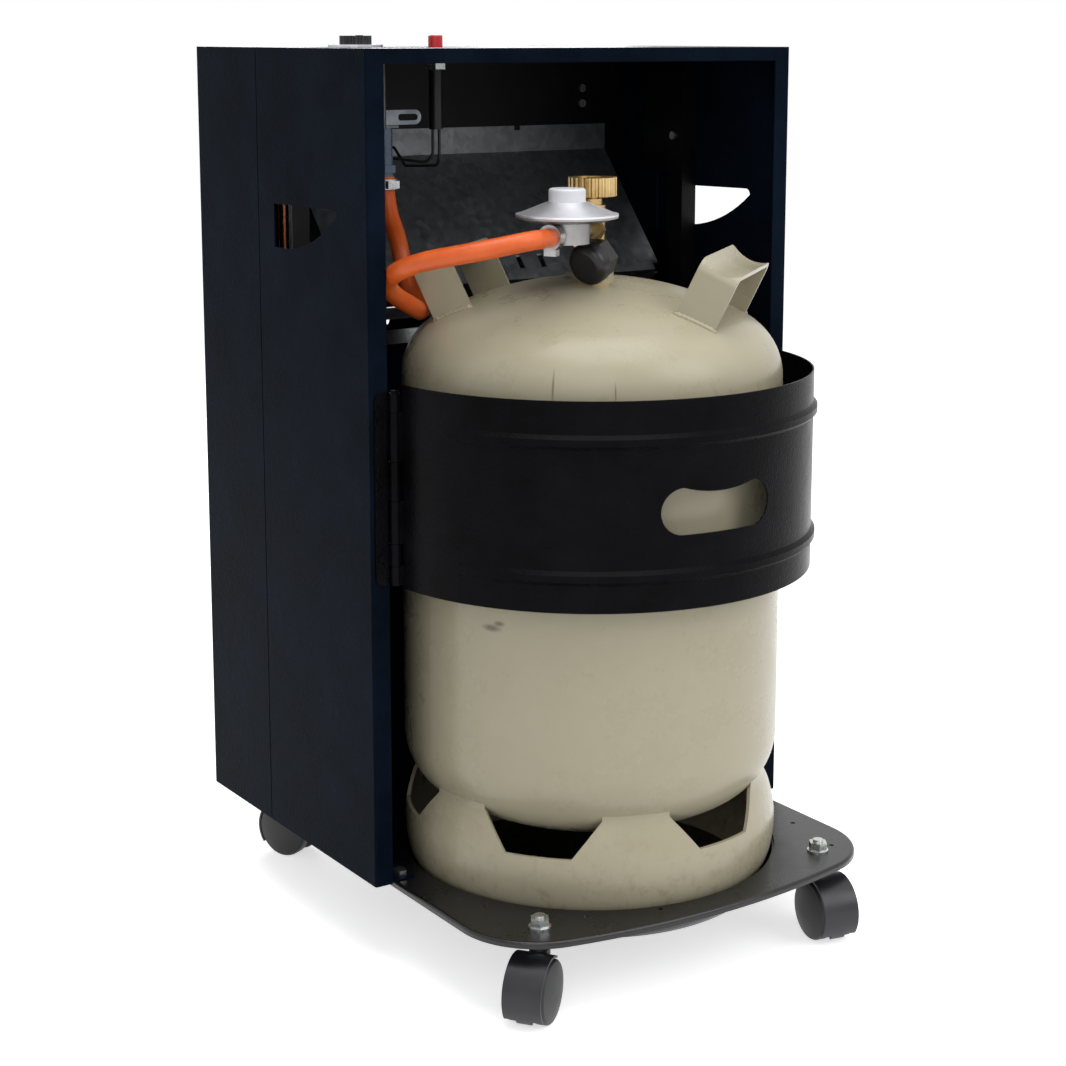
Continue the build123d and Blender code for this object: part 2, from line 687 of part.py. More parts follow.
lead_dip_z = igniter_low_z - 27.0
lead_x = knob_x + 23.0
lead_pass_z = tray_z - 37.5

with BuildPart() as igniter_leads:
    # high voltage lead to the electrode
    add(bent_rod(
        [(piezo_x + 3, controls_y, igniter_low_z),
         (piezo_x + 3, controls_y, lead_dip_z),
         (piezo_x + 44, rear_y - 160, lead_dip_z + 6),
         (lead_x, rear_y - 200, lead_pass_z),
         (lead_x, pilot_y, lead_pass_z),
         (lead_x, pilot_y, 449),
         (spark_x, pilot_y, 449),
         (spark_x, pilot_y, 474)],
        line_bend * 0.9, lead_radius))
    # earth lead to the heat shield
    add(bent_rod(
        [(piezo_x - 3, controls_y, igniter_low_z),
         (piezo_x - 3, controls_y, lead_dip_z - 2),
         (piezo_x - 12, rear_y - 180, shield_bend_z - 5),
         (piezo_x - 16, rear_y - 205, shield_bend_z + 9),
         (piezo_x - 16, rear_y - panel_inset + 1, shield_bend_z + 9)],
        line_bend * 0.9, lead_radius))
save(igniter_leads.part, "igniter_leads")

with BuildPart() as inlet_pipe:
    with Locations((inlet_x, inlet_y, (inlet_low_z + valve_low_z) / 2)):
        Cylinder(radius=inlet_radius, height=valve_low_z - inlet_low_z)
    # hexagon and hose nozzle at its lower end
    with BuildSketch(Plane.XY.offset(inlet_low_z - 6)):
        with Locations((inlet_x, inlet_y)):
            RegularPolygon(radius=8, side_count=6, major_radius=False)
    extrude(amount=6)
    with Locations((inlet_x, inlet_y, (hose_top_z + inlet_low_z - 6) / 2)):
        Cylinder(radius=nozzle_radius, height=inlet_low_z - 6 - hose_top_z)
save(inlet_pipe.part, "inlet_pipe")

# =================================================================== bottle
crown_centre_z = shoulder_z + sqrt((crown_radius - knuckle_radius) ** 2
                                   - (bottle_radius - knuckle_radius) ** 2)
crown_centre_z = shoulder_z - (crown_centre_z - shoulder_z)
crown_high_z = crown_centre_z + crown_radius
knuckle_x = bottle_radius - knuckle_radius
knuckle_share = knuckle_radius / (crown_radius - knuckle_radius)
join_x = knuckle_x * (1 + knuckle_share)
join_rise = (shoulder_z - crown_centre_z) * (1 + knuckle_share) - (shoulder_z - crown_centre_z)
knuckle_mid_x = knuckle_x + knuckle_radius * cos(radians(30))
knuckle_mid_rise = knuckle_radius * sin(radians(30))
crown_mid_x = crown_radius * sin(radians(14))
crown_mid_rise = crown_centre_z + crown_radius * cos(radians(14)) - shoulder_z
crown_rise = crown_high_z - shoulder_z
pole_radius = 5.0


def bottle_solid(inset):
    """The outside of the bottle, or its inside when it is inset by the wall."""
    scale_x = (bottle_radius - inset) / bottle_radius
    top = crown_rise - inset
    squash = top / crown_rise
    pole = pole_radius
    with BuildPart() as solid:
        with BuildSketch(Plane.XZ):
            with BuildLine():
                ThreePointArc((pole, shoulder_z + top),
                              (crown_mid_x * scale_x, shoulder_z + crown_mid_rise * squash),
                              (join_x * scale_x, shoulder_z + join_rise * squash))
                ThreePointArc((join_x * scale_x, shoulder_z + join_rise * squash),
                              (knuckle_mid_x * scale_x, shoulder_z + knuckle_mid_rise * squash),
                              (bottle_radius - inset, shoulder_z))
                Line((bottle_radius - inset, shoulder_z), (bottle_radius - inset, bottle_waist_z))
                ThreePointArc((bottle_radius - inset, bottle_waist_z),
                              (knuckle_mid_x * scale_x, bottle_waist_z - knuckle_mid_rise * squash),
                              (join_x * scale_x, bottle_waist_z - join_rise * squash))
                ThreePointArc((join_x * scale_x, bottle_waist_z - join_rise * squash),
                              (crown_mid_x * scale_x, bottle_waist_z - crown_mid_rise * squash),
                              (pole, bottle_waist_z - top))
                Polyline((pole, bottle_waist_z - top), (0, bottle_waist_z - top),
                         (0, shoulder_z + top), (pole, shoulder_z + top))
            make_face()
        revolve(axis=Axis.Z)
    return Pos(0, bottle_y, 0) * solid.part


bottle_outside = bottle_solid(0)

with BuildPart() as bottle_shell:
    add(bottle_outside)
    # neck ring
    with Locations((0, bottle_y, crown_high_z)):
        Cylinder(radius=neck_radius, height=neck_height)
    add(bottle_solid(bottle_wall), mode=Mode.SUBTRACT)
    with Locations((0, bottle_y, crown_high_z)):
        Cylinder(radius=neck_bore + running_fit, height=4 * neck_height, mode=Mode.SUBTRACT)
save(bottle_shell.part, "bottle_shell")

pan_floor_z = plate_top_z - pan_depth
pan_floor_radius = pan_radius - pan_slope - pan_edge
# outside of the foot ring from the pan up to the lower crown of the bottle
ring_profile = ((pan_floor_radius - 4.0, pan_floor_z),
                (bottle_radius - 9.5, plate_top_z - 14),
                (bottle_radius - 3.6, plate_top_z - 2),
                (bottle_radius - 0.6, plate_top_z + 12),
                (bottle_radius, plate_top_z + 30),
                (bottle_radius - 3.0, plate_top_z + 46),
                (bottle_radius - 6.8, plate_top_z + 58),
                (bottle_radius - 9.0, plate_top_z + 65),
                (bottle_radius - 8.7, plate_top_z + 70))

with BuildPart() as bottle_foot_ring:
    with BuildSketch(Plane.XZ):
        with BuildLine():
            outer = Spline(*ring_profile)
            inner = Spline(*[(radius - foot_wall, height) for radius, height in ring_profile])
            Line(outer @ 0, inner @ 0)
            Line(outer @ 1, inner @ 1)
        make_face()
    revolve(axis=Axis.Z)
    # windows, open at the top and wider there than at the bottom
    for number in range(window_count):
        angle = radians(window_centre_angle + number * 360 / window_count)
        outward = Plane(origin=(0, 0, 0), x_dir=(-sin(angle), cos(angle), 0), z_dir=(cos(angle), sin(angle), 0))
        with BuildSketch(outward):
            with BuildLine():
                Polyline((-window_half_top, plate_top_z + window_high + 6),
                         (window_half_top, plate_top_z + window_high + 6),
                         (window_half_top, plate_top_z + window_high),
                         (window_half_bottom, plate_top_z + window_low),
                         (-window_half_bottom, plate_top_z + window_low),
                         (-window_half_top, plate_top_z + window_high),
                         close=True)
            make_face()
        extrude(amount=bottle_radius + 20, mode=Mode.SUBTRACT)
    add(Pos(0, -bottle_y, 0) * bottle_solid(-running_fit), mode=Mode.SUBTRACT)
save(Pos(0, bottle_y, 0) * bottle_foot_ring.part, "bottle_foot_ring")

handle_angles = (129.2, -49.0)
handle_span = 116.0
handle_strip = 32.0
handle_sheet = 3.0
handle_reach = 95.8
handle_lean = 25.2
handle_height = 47.0
handle_foot_z = 501.0
handle_corner = 10.0
handle_root = 16.0
gutter_depth = 6.0
gutter_radius = (handle_strip ** 2 / 4 + gutter_depth ** 2) / (2 * gutter_depth)


def bow_handle(angle):
    """One bow handle: a bent strip whose two ends stand on the crown of the bottle."""
    turn = radians(angle)
    lean = radians(handle_lean)
    foot = (cos(turn) * handle_reach, bottle_y + sin(turn) * handle_reach, handle_foot_z)
    across = (sin(turn), -cos(turn), 0)
    facing = (cos(turn) * cos(lean), sin(turn) * cos(lean), -sin(lean))
    face_plane = Plane(origin=foot, x_dir=across, z_dir=facing)
    rise = 1 if face_plane.y_dir.Z > 0 else -1
    gutter_origin = face_plane.from_local_coords((0, rise * (handle_height + gutter_radius - gutter_depth), 0))
    gutter_place = Location(Plane(origin=gutter_origin, x_dir=facing, z_dir=across))
    block_height = handle_height + handle_root
    block_middle = rise * (handle_height - handle_root) / 2
    with BuildPart() as gutter:
        with BuildSketch(face_plane):
            with Locations((0, block_middle)):
                RectangleRounded(handle_span, block_height, handle_corner)
        extrude(amount=handle_strip / 2, both=True)
        with Locations(gutter_place):
            Cylinder(radius=gutter_radius + handle_sheet, height=2 * handle_span, mode=Mode.INTERSECT)
    with BuildPart() as handle:
        with BuildSketch(face_plane):
            with Locations((0, block_middle)):
                RectangleRounded(handle_span, block_height, handle_corner)
                RectangleRounded(handle_span - 2 * handle_sheet, block_height - 2 * handle_sheet,
                                 handle_corner - handle_sheet, mode=Mode.SUBTRACT)
            with Locations((0, -rise * handle_root)):
                Rectangle(handle_span - 6, 2 * handle_corner + 10, mode=Mode.SUBTRACT)
        extrude(amount=handle_strip / 2, both=True)
        # the grip is dished along its length
        add(gutter.part)
        with Locations(gutter_place):
            Cylinder(radius=gutter_radius, height=2 * handle_span, mode=Mode.SUBTRACT)
        add(bottle_outside, mode=Mode.SUBTRACT)
    return handle.part


with BuildPart() as bow_handles:
    for handle_angle in handle_angles:
        add(bow_handle(handle_angle))
save(bow_handles.part, "bow_handles")

# =================================================================== bottle valve
regulator_angle = 37.0
regulator_reach = 62.0
outlet_z = 565.0
thread_radius = 9.8
base_across = 27.0
valve_column_radius = 10.0
valve_column_top_z = outlet_z + 18.0
gland_radius = 7.5
gland_top_z = outlet_z + 23.0
gland_bore_z = outlet_z + 9.0
stem_radius = 3.5
wheel_low_z = outlet_z + 25.0
wheel_high_z = outlet_z + 39.5
wheel_rim_radius = 19.0
wheel_flutes = 22
flute_cut = 1.7
outlet_radius = 8.0
union_near = 11.5
union_far = 23.0
union_across = 26.0
neck_top_z = crown_high_z + neck_height / 2
thread_length = 18.9
outward_x = cos(radians(regulator_angle))
outward_y = sin(radians(regulator_angle))


def outlet_plane(reach):
    """A plane square to the outlet, at a distance from the axis of the bottle."""
    return Plane(origin=(outward_x * reach, bottle_y + outward_y * reach, outlet_z),
                 x_dir=(-outward_y, outward_x, 0), z_dir=(outward_x, outward_y, 0))


with BuildPart() as cylinder_valve:
    with Locations((0, bottle_y, neck_top_z - thread_length / 2)):
        Cylinder(radius=thread_radius, height=thread_length)
    with BuildSketch(Plane.XY.offset(neck_top_z)):
        with Locations((0, bottle_y)):
            RegularPolygon(radius=base_across / 2, side_count=6, major_radius=False)
    extrude(amount=11)
    with Locations((0, bottle_y, (neck_top_z + valve_column_top_z) / 2)):
        Cylinder(radius=valve_column_radius, height=valve_column_top_z - neck_top_z)
    with Locations((0, bottle_y, gland_top_z - 5)):
        Cylinder(radius=gland_radius, height=10)
    with BuildSketch(outlet_plane(0)):
        Circle(outlet_radius)
    extrude(amount=union_near)
    with Locations((0, bottle_y, (gland_top_z + gland_bore_z) / 2)):
        Cylinder(radius=stem_radius + running_fit, height=gland_top_z - gland_bore_z, mode=Mode.SUBTRACT)
save(cylinder_valve.part, "cylinder_valve")

with BuildPart() as valve_handwheel:
    with BuildSketch(Plane.XY.offset(wheel_low_z)):
        with Locations((0, bottle_y)):
            Circle(wheel_rim_radius)
            with PolarLocations(wheel_rim_radius + 0.5, wheel_flutes):
                Circle(flute_cut, mode=Mode.SUBTRACT)
    extrude(amount=wheel_high_z - wheel_low_z)
    with Locations((0, bottle_y, wheel_high_z)):
        Cylinder(radius=12, height=5, mode=Mode.SUBTRACT)
    with Locations((0, bottle_y, wheel_high_z - 2.5)):
        Cylinder(radius=5, height=4)
    with Locations((0, bottle_y, (wheel_low_z + gland_bore_z + 1) / 2)):
        Cylinder(radius=stem_radius, height=wheel_low_z - gland_bore_z - 1)
save(valve_handwheel.part, "valve_handwheel")

with BuildPart() as union_nut:
    with BuildSketch(outlet_plane(union_near)):
        RegularPolygon(radius=union_across / 2, side_count=6, major_radius=False)
    extrude(amount=union_far - union_near)
    chamfer(union_nut.edges().filter_by(GeomType.LINE).sort_by(Axis.Z)[-1:], 0.4)
save(union_nut.part, "union_nut")

# =================================================================== regulator
regulator_radius = 38.8
regulator_body_radius = 17.0
regulator_low_z = 558.5
regulator_skirt_z = 575.2
regulator_flange_z = 578.0
regulator_joint_z = 579.5
regulator_rim_z = 581.0
regulator_cone_z = 590.0
regulator_cap_radius = 14.0
regulator_cap_z = 600.0
tail_radius = 6.8
regulator_x = outward_x * regulator_reach
regulator_y = bottle_y + outward_y * regulator_reach
hose_start = (66.5, rear_y + 48.6, outlet_z)
tail_turn = atan2(hose_start[1] - regulator_y, hose_start[0] - regulator_x)
tail_length = hypot(hose_start[1] - regulator_y, hose_start[0] - regulator_x)
first_run = 21.1

with BuildPart() as regulator_body:
    # inlet
    with BuildSketch(outlet_plane(union_far)):
        Circle(outlet_radius)
    extrude(amount=regulator_reach - union_far - 10)
    # hose tail
    with BuildSketch(Plane(origin=(hose_start[0], hose_start[1], outlet_z),
                           x_dir=(-sin(tail_turn), cos(tail_turn), 0),
                           z_dir=(-cos(tail_turn), -sin(tail_turn), 0))):
        Circle(tail_radius)
    extrude(amount=tail_length - 6)
    with BuildSketch(Plane.XY.offset(regulator_low_z)):
        with Locations((regulator_x, regulator_y)):
            Circle(regulator_body_radius)
    extrude(amount=regulator_flange_z - regulator_low_z)
    # dished underside
    with BuildSketch(Plane.XY.offset(regulator_skirt_z)):
        with Locations((regulator_x, regulator_y)):
            Circle(regulator_body_radius + 12)
    with BuildSketch(Plane.XY.offset(regulator_flange_z)):
        with Locations((regulator_x, regulator_y)):
            Circle(regulator_radius - 0.5)
    loft()
    with BuildSketch(Plane.XY.offset(regulator_flange_z)):
        with Locations((regulator_x, regulator_y)):
            Circle(regulator_radius)
    extrude(amount=regulator_joint_z - regulator_flange_z)
save(regulator_body.part, "regulator_body")

with BuildPart() as regulator_cover:
    with Locations((regulator_x, regulator_y, (regulator_joint_z + regulator_rim_z) / 2)):
        Cylinder(radius=regulator_radius, height=regulator_rim_z - regulator_joint_z)
    with BuildSketch(Plane.XY.offset(regulator_rim_z)):
        with Locations((regulator_x, regulator_y)):
            Circle(regulator_radius - 1.5)
    with BuildSketch(Plane.XY.offset(regulator_cone_z)):
        with Locations((regulator_x, regulator_y)):
            Circle(regulator_cap_radius + 1)
    loft()
save(regulator_cover.part, "regulator_cover")

with BuildPart() as regulator_cap:
    with Locations((regulator_x, regulator_y, (regulator_cone_z + regulator_cap_z) / 2)):
        Cylinder(radius=regulator_cap_radius, height=regulator_cap_z - regulator_cone_z)
    fillet(regulator_cap.edges().group_by(Axis.Z)[-1], 2)
save(regulator_cap.part, "regulator_cap")

# =================================================================== gas hose
hose_route = [
    hose_start,
    (hose_start[0] + first_run * cos(tail_turn), hose_start[1] + first_run * sin(tail_turn), outlet_z),
    (105.2, rear_y + 73.8, 566.2),
    (145.2, rear_y + 59.4, 558.6),
    (173.7, rear_y + 23.8, 549.9),
    (177.4, rear_y - 14.4, 534.6),
    (161.5, rear_y - 32.7, 520.6),
    (132.0, rear_y - 44.5, 505.7),
    (105.5, rear_y - 80.4, 496.8),
    (104.9, rear_y - 108.4, 520.0),
    (102.6, rear_y - 121.3, 550.7),
    (inlet_x, inlet_y, 580.0),
    (inlet_x, inlet_y, hose_top_z),
]


def bend_radii(points):
    """The largest arc that both runs at each corner leave room for."""
    radii = []
    for before, corner, after in zip(points, points[1:], points[2:]):
        run_in = Vector(*corner) - Vector(*before)
        run_out = Vector(*after) - Vector(*corner)
        half_turn = radians(run_in.get_angle(run_out)) / 2
        radii.append(0.45 * min(run_in.length, run_out.length) / tan(half_turn))
    return radii


hose_bends = bend_radii(hose_route)
print("hose bend radii", [round(bend) for bend in hose_bends])
gas_hose = bent_rod(hose_route, hose_bends, hose_radius)
with BuildLine() as hose_line:
    FilletPolyline(*hose_route, radius=hose_bends)
hose_length = sum(edge.length for edge in hose_line.edges())
print("hose length", round(hose_length, 1), "volume share",
      round(gas_hose.volume / (hose_length * 3.14159265 * hose_radius ** 2), 4))
save(gas_hose, "gas_hose")

clamp_radius = 9.75
clamp_width = 8.0
clamp_ear = 6.0
clamp_set_back = 2.0


def clamp_ring(start, towards, screw_side):
    """A band clamp with its screw housing, a little way along the hose from one end."""
    along = (Vector(*towards) - Vector(*start)).normalized()
    base = Plane(origin=Vector(*start) + along * clamp_set_back, x_dir=screw_side, z_dir=along)
    with BuildPart() as clamp:
        with BuildSketch(base):
            Circle(clamp_radius)
            Circle(hose_radius + running_fit, mode=Mode.SUBTRACT)
        extrude(amount=clamp_width)
        with BuildSketch(base.offset(1)):
            with Locations((clamp_radius + 1.5, 0)):
                Rectangle(5, clamp_ear + 4)
        extrude(amount=clamp_width - 2)
    return clamp.part


with BuildPart() as hose_clamps:
    add(clamp_ring(hose_route[0], hose_route[1], (0, 0, -1)))
    add(clamp_ring(hose_route[-1], hose_route[-2], (0, 1, 0)))
save(hose_clamps.part, "hose_clamps")

# =================================================================== blanking cap on its strap
cap_centre = (24.6, rear_y + 36.0, outlet_z - 22.5)
cap_axis = Vector(0.9, 0.3, -0.3).normalized()
cap_radius = 16.5
cap_length = 28.0
cap_hex_across = 27.0
strap_radius = 14.0
strap_low_z = outlet_z - 16.0
strap_thickness = 2.5

cap_back = Vector(*cap_centre) - cap_axis * (cap_length / 2)
cap_plane = Plane(origin=cap_back, x_dir=(0.3, -0.9, 0), z_dir=cap_axis)

with BuildPart() as outlet_cap:
    with BuildSketch(cap_plane):
        RegularPolygon(radius=cap_hex_across / 2, side_count=6, major_radius=False)
    extrude(amount=12)
    with BuildSketch(cap_plane.offset(12)):
        Circle(cap_radius)
    extrude(amount=cap_length - 16)
    fillet(outlet_cap.faces().sort_by(Axis(origin=cap_centre, direction=cap_axis))[-1].edges(), 6)
save(outlet_cap.part, "outlet_cap")

with BuildPart() as cap_strap:
    with BuildSketch(Plane.XY.offset(strap_low_z)):
        with Locations((0, bottle_y)):
            Circle(strap_radius)
            Circle(valve_column_radius + running_fit, mode=Mode.SUBTRACT)
        with BuildLine():
            Polyline((2, bottle_y + 12), (12, bottle_y + 9), (17, bottle_y + 30), (9, bottle_y + 33),
                     close=True)
        make_face()
        with Locations((0, bottle_y)):
            Circle(valve_column_radius + running_fit, mode=Mode.SUBTRACT)
    extrude(amount=strap_thickness)
    add(outlet_cap.part, mode=Mode.SUBTRACT)
save(cap_strap.part, "cap_strap")

# =================================================================== retaining band and its hinge
band_inner_radius = band_radius - sheet
band_first_angle = 2.0
bead_groove = 1.4
kidney_angle = 87.75
kidney_half = 48.0
kidney_top = 35.0
kidney_dip = 4.5
kidney_low_z = band_bottom_z + 55.5
kidney_end = 17.0
pin_x = band_radius + 5.3
pin_back = 5.0
pin_radius = 2.0
knuckle_radius_out = 4.0
knuckle_gap = 0.4
pin_fit = 0.05
hinge_breaks = [band_bottom_z + step for step in (3.0, 18.0, 35.0, 68.0, 98.0, 135.0, 150.0)]
leaf_sheet = 1.5
leaf_far_x = pin_x + 15.0
pin_y = rear_y + pin_back


def band_piece(inner, outer, low, high, first, last):
    """A curved strip round the bottle, between two angles."""
    with BuildPart() as strip:
        with BuildSketch(Plane.XZ):
            with Locations(((inner + outer) / 2, (low + high) / 2)):
                Rectangle(outer - inner, high - low)
        revolve(axis=Axis.Z, revolution_arc=last - first)
    return Pos(0, rear_y, 0) * Rot(0, 0, first) * strip.part


def bead_section(offset_in):
    """Cross-section of a pressed bead, drawn at the outside face of the band."""
    half = bead_height / 2 - offset_in * 0.6
    reach = bead_proud - offset_in
    root = -sheet - 0.2 if offset_in else -0.3
    return [(root, -half), (0, -half), (reach, -half * 0.45), (reach, half * 0.45), (0, half), (root, half)]


def bead(middle_z, offset_in):
    with BuildPart() as ring:
        with BuildSketch(Plane.XZ):
            with BuildLine():
                Polyline(*[(band_radius + x, middle_z + z) for x, z in bead_section(offset_in)], close=True)
            make_face()
        revolve(axis=Axis.Z, revolution_arc=180 - 2 * bead_start_angle)
    return Pos(0, rear_y, 0) * Rot(0, 0, bead_start_angle) * ring.part


def knuckle(low, high):
    """One knuckle of the hinge, round the pin."""
    with BuildPart() as tube:
        with Locations((pin_x, pin_y, (low + high) / 2)):
            Cylinder(radius=knuckle_radius_out, height=high - low)
            Cylinder(radius=pin_radius + pin_fit, height=high - low, mode=Mode.SUBTRACT)
    return tube.part


bead_heights = (band_bottom_z + bead_inset - 1, band_bottom_z + band_height - bead_inset - 3)
band_knuckles = (0, 2, 4)
leaf_knuckles = (1, 3, 5)

with BuildPart() as retaining_band:
    add(band_piece(band_inner_radius, band_radius, band_bottom_z, band_bottom_z + band_height,
                   band_first_angle, 180))
    for bead_z in bead_heights:
        add(bead(bead_z, 0))
    for bead_z in bead_heights:
        add(bead(bead_z, bead_groove), mode=Mode.SUBTRACT)
    # kidney-shaped hand hole
    hole_turn = radians(kidney_angle)
    hole_plane = Plane(origin=(0, rear_y, kidney_low_z), x_dir=(-sin(hole_turn), cos(hole_turn), 0),
                       z_dir=(cos(hole_turn), sin(hole_turn), 0))
    with BuildSketch(hole_plane):
        with BuildLine():
            ThreePointArc((-kidney_half + kidney_end, kidney_top), (0, kidney_top - kidney_dip),
                          (kidney_half - kidney_end, kidney_top))
            ThreePointArc((kidney_half - kidney_end, kidney_top), (kidney_half, kidney_top / 2),
                          (kidney_half - kidney_end, 0))
            Line((kidney_half - kidney_end, 0), (-kidney_half + kidney_end, 0))
            ThreePointArc((-kidney_half + kidney_end, 0), (-kidney_half, kidney_top / 2),
                          (-kidney_half + kidney_end, kidney_top))
        make_face()
    extrude(amount=band_radius + 20, mode=Mode.SUBTRACT)
    # knuckles and the short webs that join them to the band
    for number in band_knuckles:
        low = hinge_breaks[number] + knuckle_gap / 2
        high = hinge_breaks[number + 1] - knuckle_gap / 2
        with Locations(((band_inner_radius + pin_x) / 2 - 1, pin_y + 3.2, (low + high) / 2)):
            Box(pin_x - band_inner_radius + 2, sheet, high - low)
        add(knuckle(low, high))
        with Locations((pin_x, pin_y, (low + high) / 2)):
            Cylinder(radius=pin_radius + pin_fit, height=high - low, mode=Mode.SUBTRACT)
save(retaining_band.part, "retaining_band")

with BuildPart() as hinge_leaf:
    with Locations(((pin_x + 2 + leaf_far_x) / 2, rear_y + leaf_sheet / 2,
                    (hinge_breaks[0] + hinge_breaks[-1]) / 2)):
        Box(leaf_far_x - pin_x - 2, leaf_sheet, hinge_breaks[-1] - hinge_breaks[0])
    fillet(hinge_leaf.edges().filter_by(Axis.Y).group_by(Axis.X)[-1], 6)
    # the moving knuckles pass through cut-outs in the leaf
    for number in band_knuckles:
        with Locations((pin_x, pin_y, (hinge_breaks[number] + hinge_breaks[number + 1]) / 2)):
            Cylinder(radius=knuckle_radius_out + 1.6,
                     height=hinge_breaks[number + 1] - hinge_breaks[number] + knuckle_gap,
                     mode=Mode.SUBTRACT)
    for number in leaf_knuckles:
        low = hinge_breaks[number] + knuckle_gap / 2
        high = hinge_breaks[number + 1] - knuckle_gap / 2
        add(knuckle(low, high))
        with Locations((pin_x + 1.5, rear_y + leaf_sheet / 2, (low + high) / 2)):
            Box(6, leaf_sheet, high - low)
        with Locations((pin_x, pin_y, (low + high) / 2)):
            Cylinder(radius=pin_radius + pin_fit, height=high - low, mode=Mode.SUBTRACT)
save(hinge_leaf.part, "hinge_leaf")

rivet_x = pin_x + 10.0
rivet_heights = [band_bottom_z + step for step in (24.0, 76.5, 129.0)]

with BuildPart() as hinge_pin:
    with Locations((pin_x, pin_y, (hinge_breaks[0] + hinge_breaks[-1]) / 2)):
        Cylinder(radius=pin_radius, height=hinge_breaks[-1] - hinge_breaks[0] + 1)
    with Locations((pin_x, pin_y, hinge_breaks[-1] + 1)):
        Cylinder(radius=3.2, height=1.4)
save(hinge_pin.part, "hinge_pin")

# hook on the free end of the band; its tongue goes through the slot in the cabinet lip
tongue_width = 24.0
tongue_sheet = 1.6
tongue_reach = 8.0
hook_stand_off = 9.0

with BuildPart() as band_hook:
    with Locations(((-band_radius + latch_x) / 2, rear_y + hook_stand_off, latch_z)):
        Box(-latch_x - band_radius, tongue_sheet, tongue_width)
    with Locations((latch_x, rear_y + (hook_stand_off + tongue_sheet / 2 - tongue_reach) / 2, latch_z)):
        Box(tongue_sheet, hook_stand_off + tongue_sheet / 2 + tongue_reach, tongue_width)
    # foot of the hook, flat on the band
    with Locations((-band_radius - tongue_sheet / 2, rear_y + hook_stand_off + 7, latch_z)):
        Box(tongue_sheet, 16, tongue_width)
    add(band_piece(band_inner_radius - 5, band_radius, latch_z - tongue_width, latch_z + tongue_width, 150, 181),
        mode=Mode.SUBTRACT)
save(band_hook.part, "band_hook")

# =================================================================== base plate and pan
plate_front = cabinet_depth - plate_front_setback
plate_front_corner = 12.0
pan_flange = 6.0
pan_flange_sheet = 1.5
castor_x = half_width - 64.3
castor_rear = 130.4
castor_front = 240.0
stem_thread_radius = 4.0
stem_hole_radius = 4.2
bolt_radius = 3.0
bolt_across = 10.0
drain_radius = 2.0
drain_spots = ((162.0, 54.0), (156.0, 75.0), (173.0, 156.0), (197.0, 140.4))

plate_low_z = plate_top_z - plate_sheet
pan_low_z = plate_top_z - pan_depth - pan_wall
castor_spots = ((castor_x, rear_y + castor_rear), (-castor_x, rear_y + castor_rear),
                (castor_x, rear_y - castor_front), (-castor_x, rear_y - castor_front))


plate_bow_radius = (plate_half_width ** 2 + plate_rear_bow ** 2) / (2 * plate_rear_bow)


def plate_shape(inset, low, high):
    """The outline of the base plate, bowed at the rear, drawn in by an inset."""
    half = plate_half_width - inset
    bow = plate_bow_radius - inset
    front_line = rear_y - plate_front + inset
    rear_line = rear_y + plate_rear_reach - inset
    side_end = rear_line - bow + sqrt(bow ** 2 - half ** 2)
    with BuildPart() as slab:
        with BuildSketch(Plane.XY.offset(low)) as shape:
            with BuildLine():
                Polyline((half, side_end), (half, front_line), (-half, front_line), (-half, side_end))
                ThreePointArc((-half, side_end), (0, rear_line), (half, side_end))
            make_face()
            fillet(shape.vertices().group_by(Axis.Y)[-1], plate_corner - inset)
            fillet(shape.vertices().group_by(Axis.Y)[0], plate_front_corner - inset)
        extrude(amount=high - low)
    return slab.part


with BuildPart() as base_plate:
    add(plate_shape(0, plate_top_z - plate_rim, plate_top_z))
    fillet(base_plate.edges().group_by(Axis.Z)[-1], 2.5)
    add(plate_shape(plate_sheet, plate_top_z - plate_rim, plate_low_z), mode=Mode.SUBTRACT)
    with Locations((0, bottle_y, plate_low_z)):
        Cylinder(radius=pan_radius, height=4 * plate_sheet, mode=Mode.SUBTRACT)
    # the bottle's pan leaves a band of plate; the front is open below the burner for air
    with Locations(*[(x, y, plate_low_z) for x, y in castor_spots]):
        Cylinder(radius=stem_hole_radius, height=4 * plate_sheet, mode=Mode.SUBTRACT)
    with Locations(*[(x, y, plate_low_z) for x, y in bolt_spots]):
        Cylinder(radius=bolt_hole_radius, height=4 * plate_sheet, mode=Mode.SUBTRACT)
    for reach, turn in drain_spots:
        with Locations((reach * cos(radians(turn)), bottle_y + reach * sin(radians(turn)), plate_low_z)):
            Cylinder(radius=drain_radius, height=4 * plate_sheet, mode=Mode.SUBTRACT)
save(base_plate.part, "base_plate")

with BuildPart() as base_pan:
    with BuildSketch(Plane.XZ):
        with BuildLine():
            Polyline((0, pan_low_z),
                     (pan_floor_radius, pan_low_z),
                     (pan_floor_radius + pan_edge, pan_low_z + pan_edge),
                     (pan_radius - 0.2, pan_low_z + pan_edge + pan_slope * 1.4),
                     (pan_radius - 0.2, plate_low_z - pan_flange_sheet),
                     (pan_radius + pan_flange, plate_low_z - pan_flange_sheet),
                     (pan_radius + pan_flange, plate_low_z),
                     (pan_radius - 0.2 - pan_wall, plate_low_z),
                     (pan_radius - 0.2 - pan_wall, pan_low_z + pan_edge + pan_slope * 1.4 + 0.5),
                     (pan_floor_radius + pan_edge - pan_wall, pan_low_z + pan_edge + 0.6),
                     (pan_floor_radius - 0.6, pan_low_z + pan_wall),
                     (0, pan_low_z + pan_wall),
                     close=True)
        make_face()
    revolve(axis=Axis.Z)
save(Pos(0, bottle_y, 0) * base_pan.part, "base_pan")

bolt_head_z = cabinet_bottom_z + sheet
bolt_head_height = 4.0
bolt_nut_height = 4.5

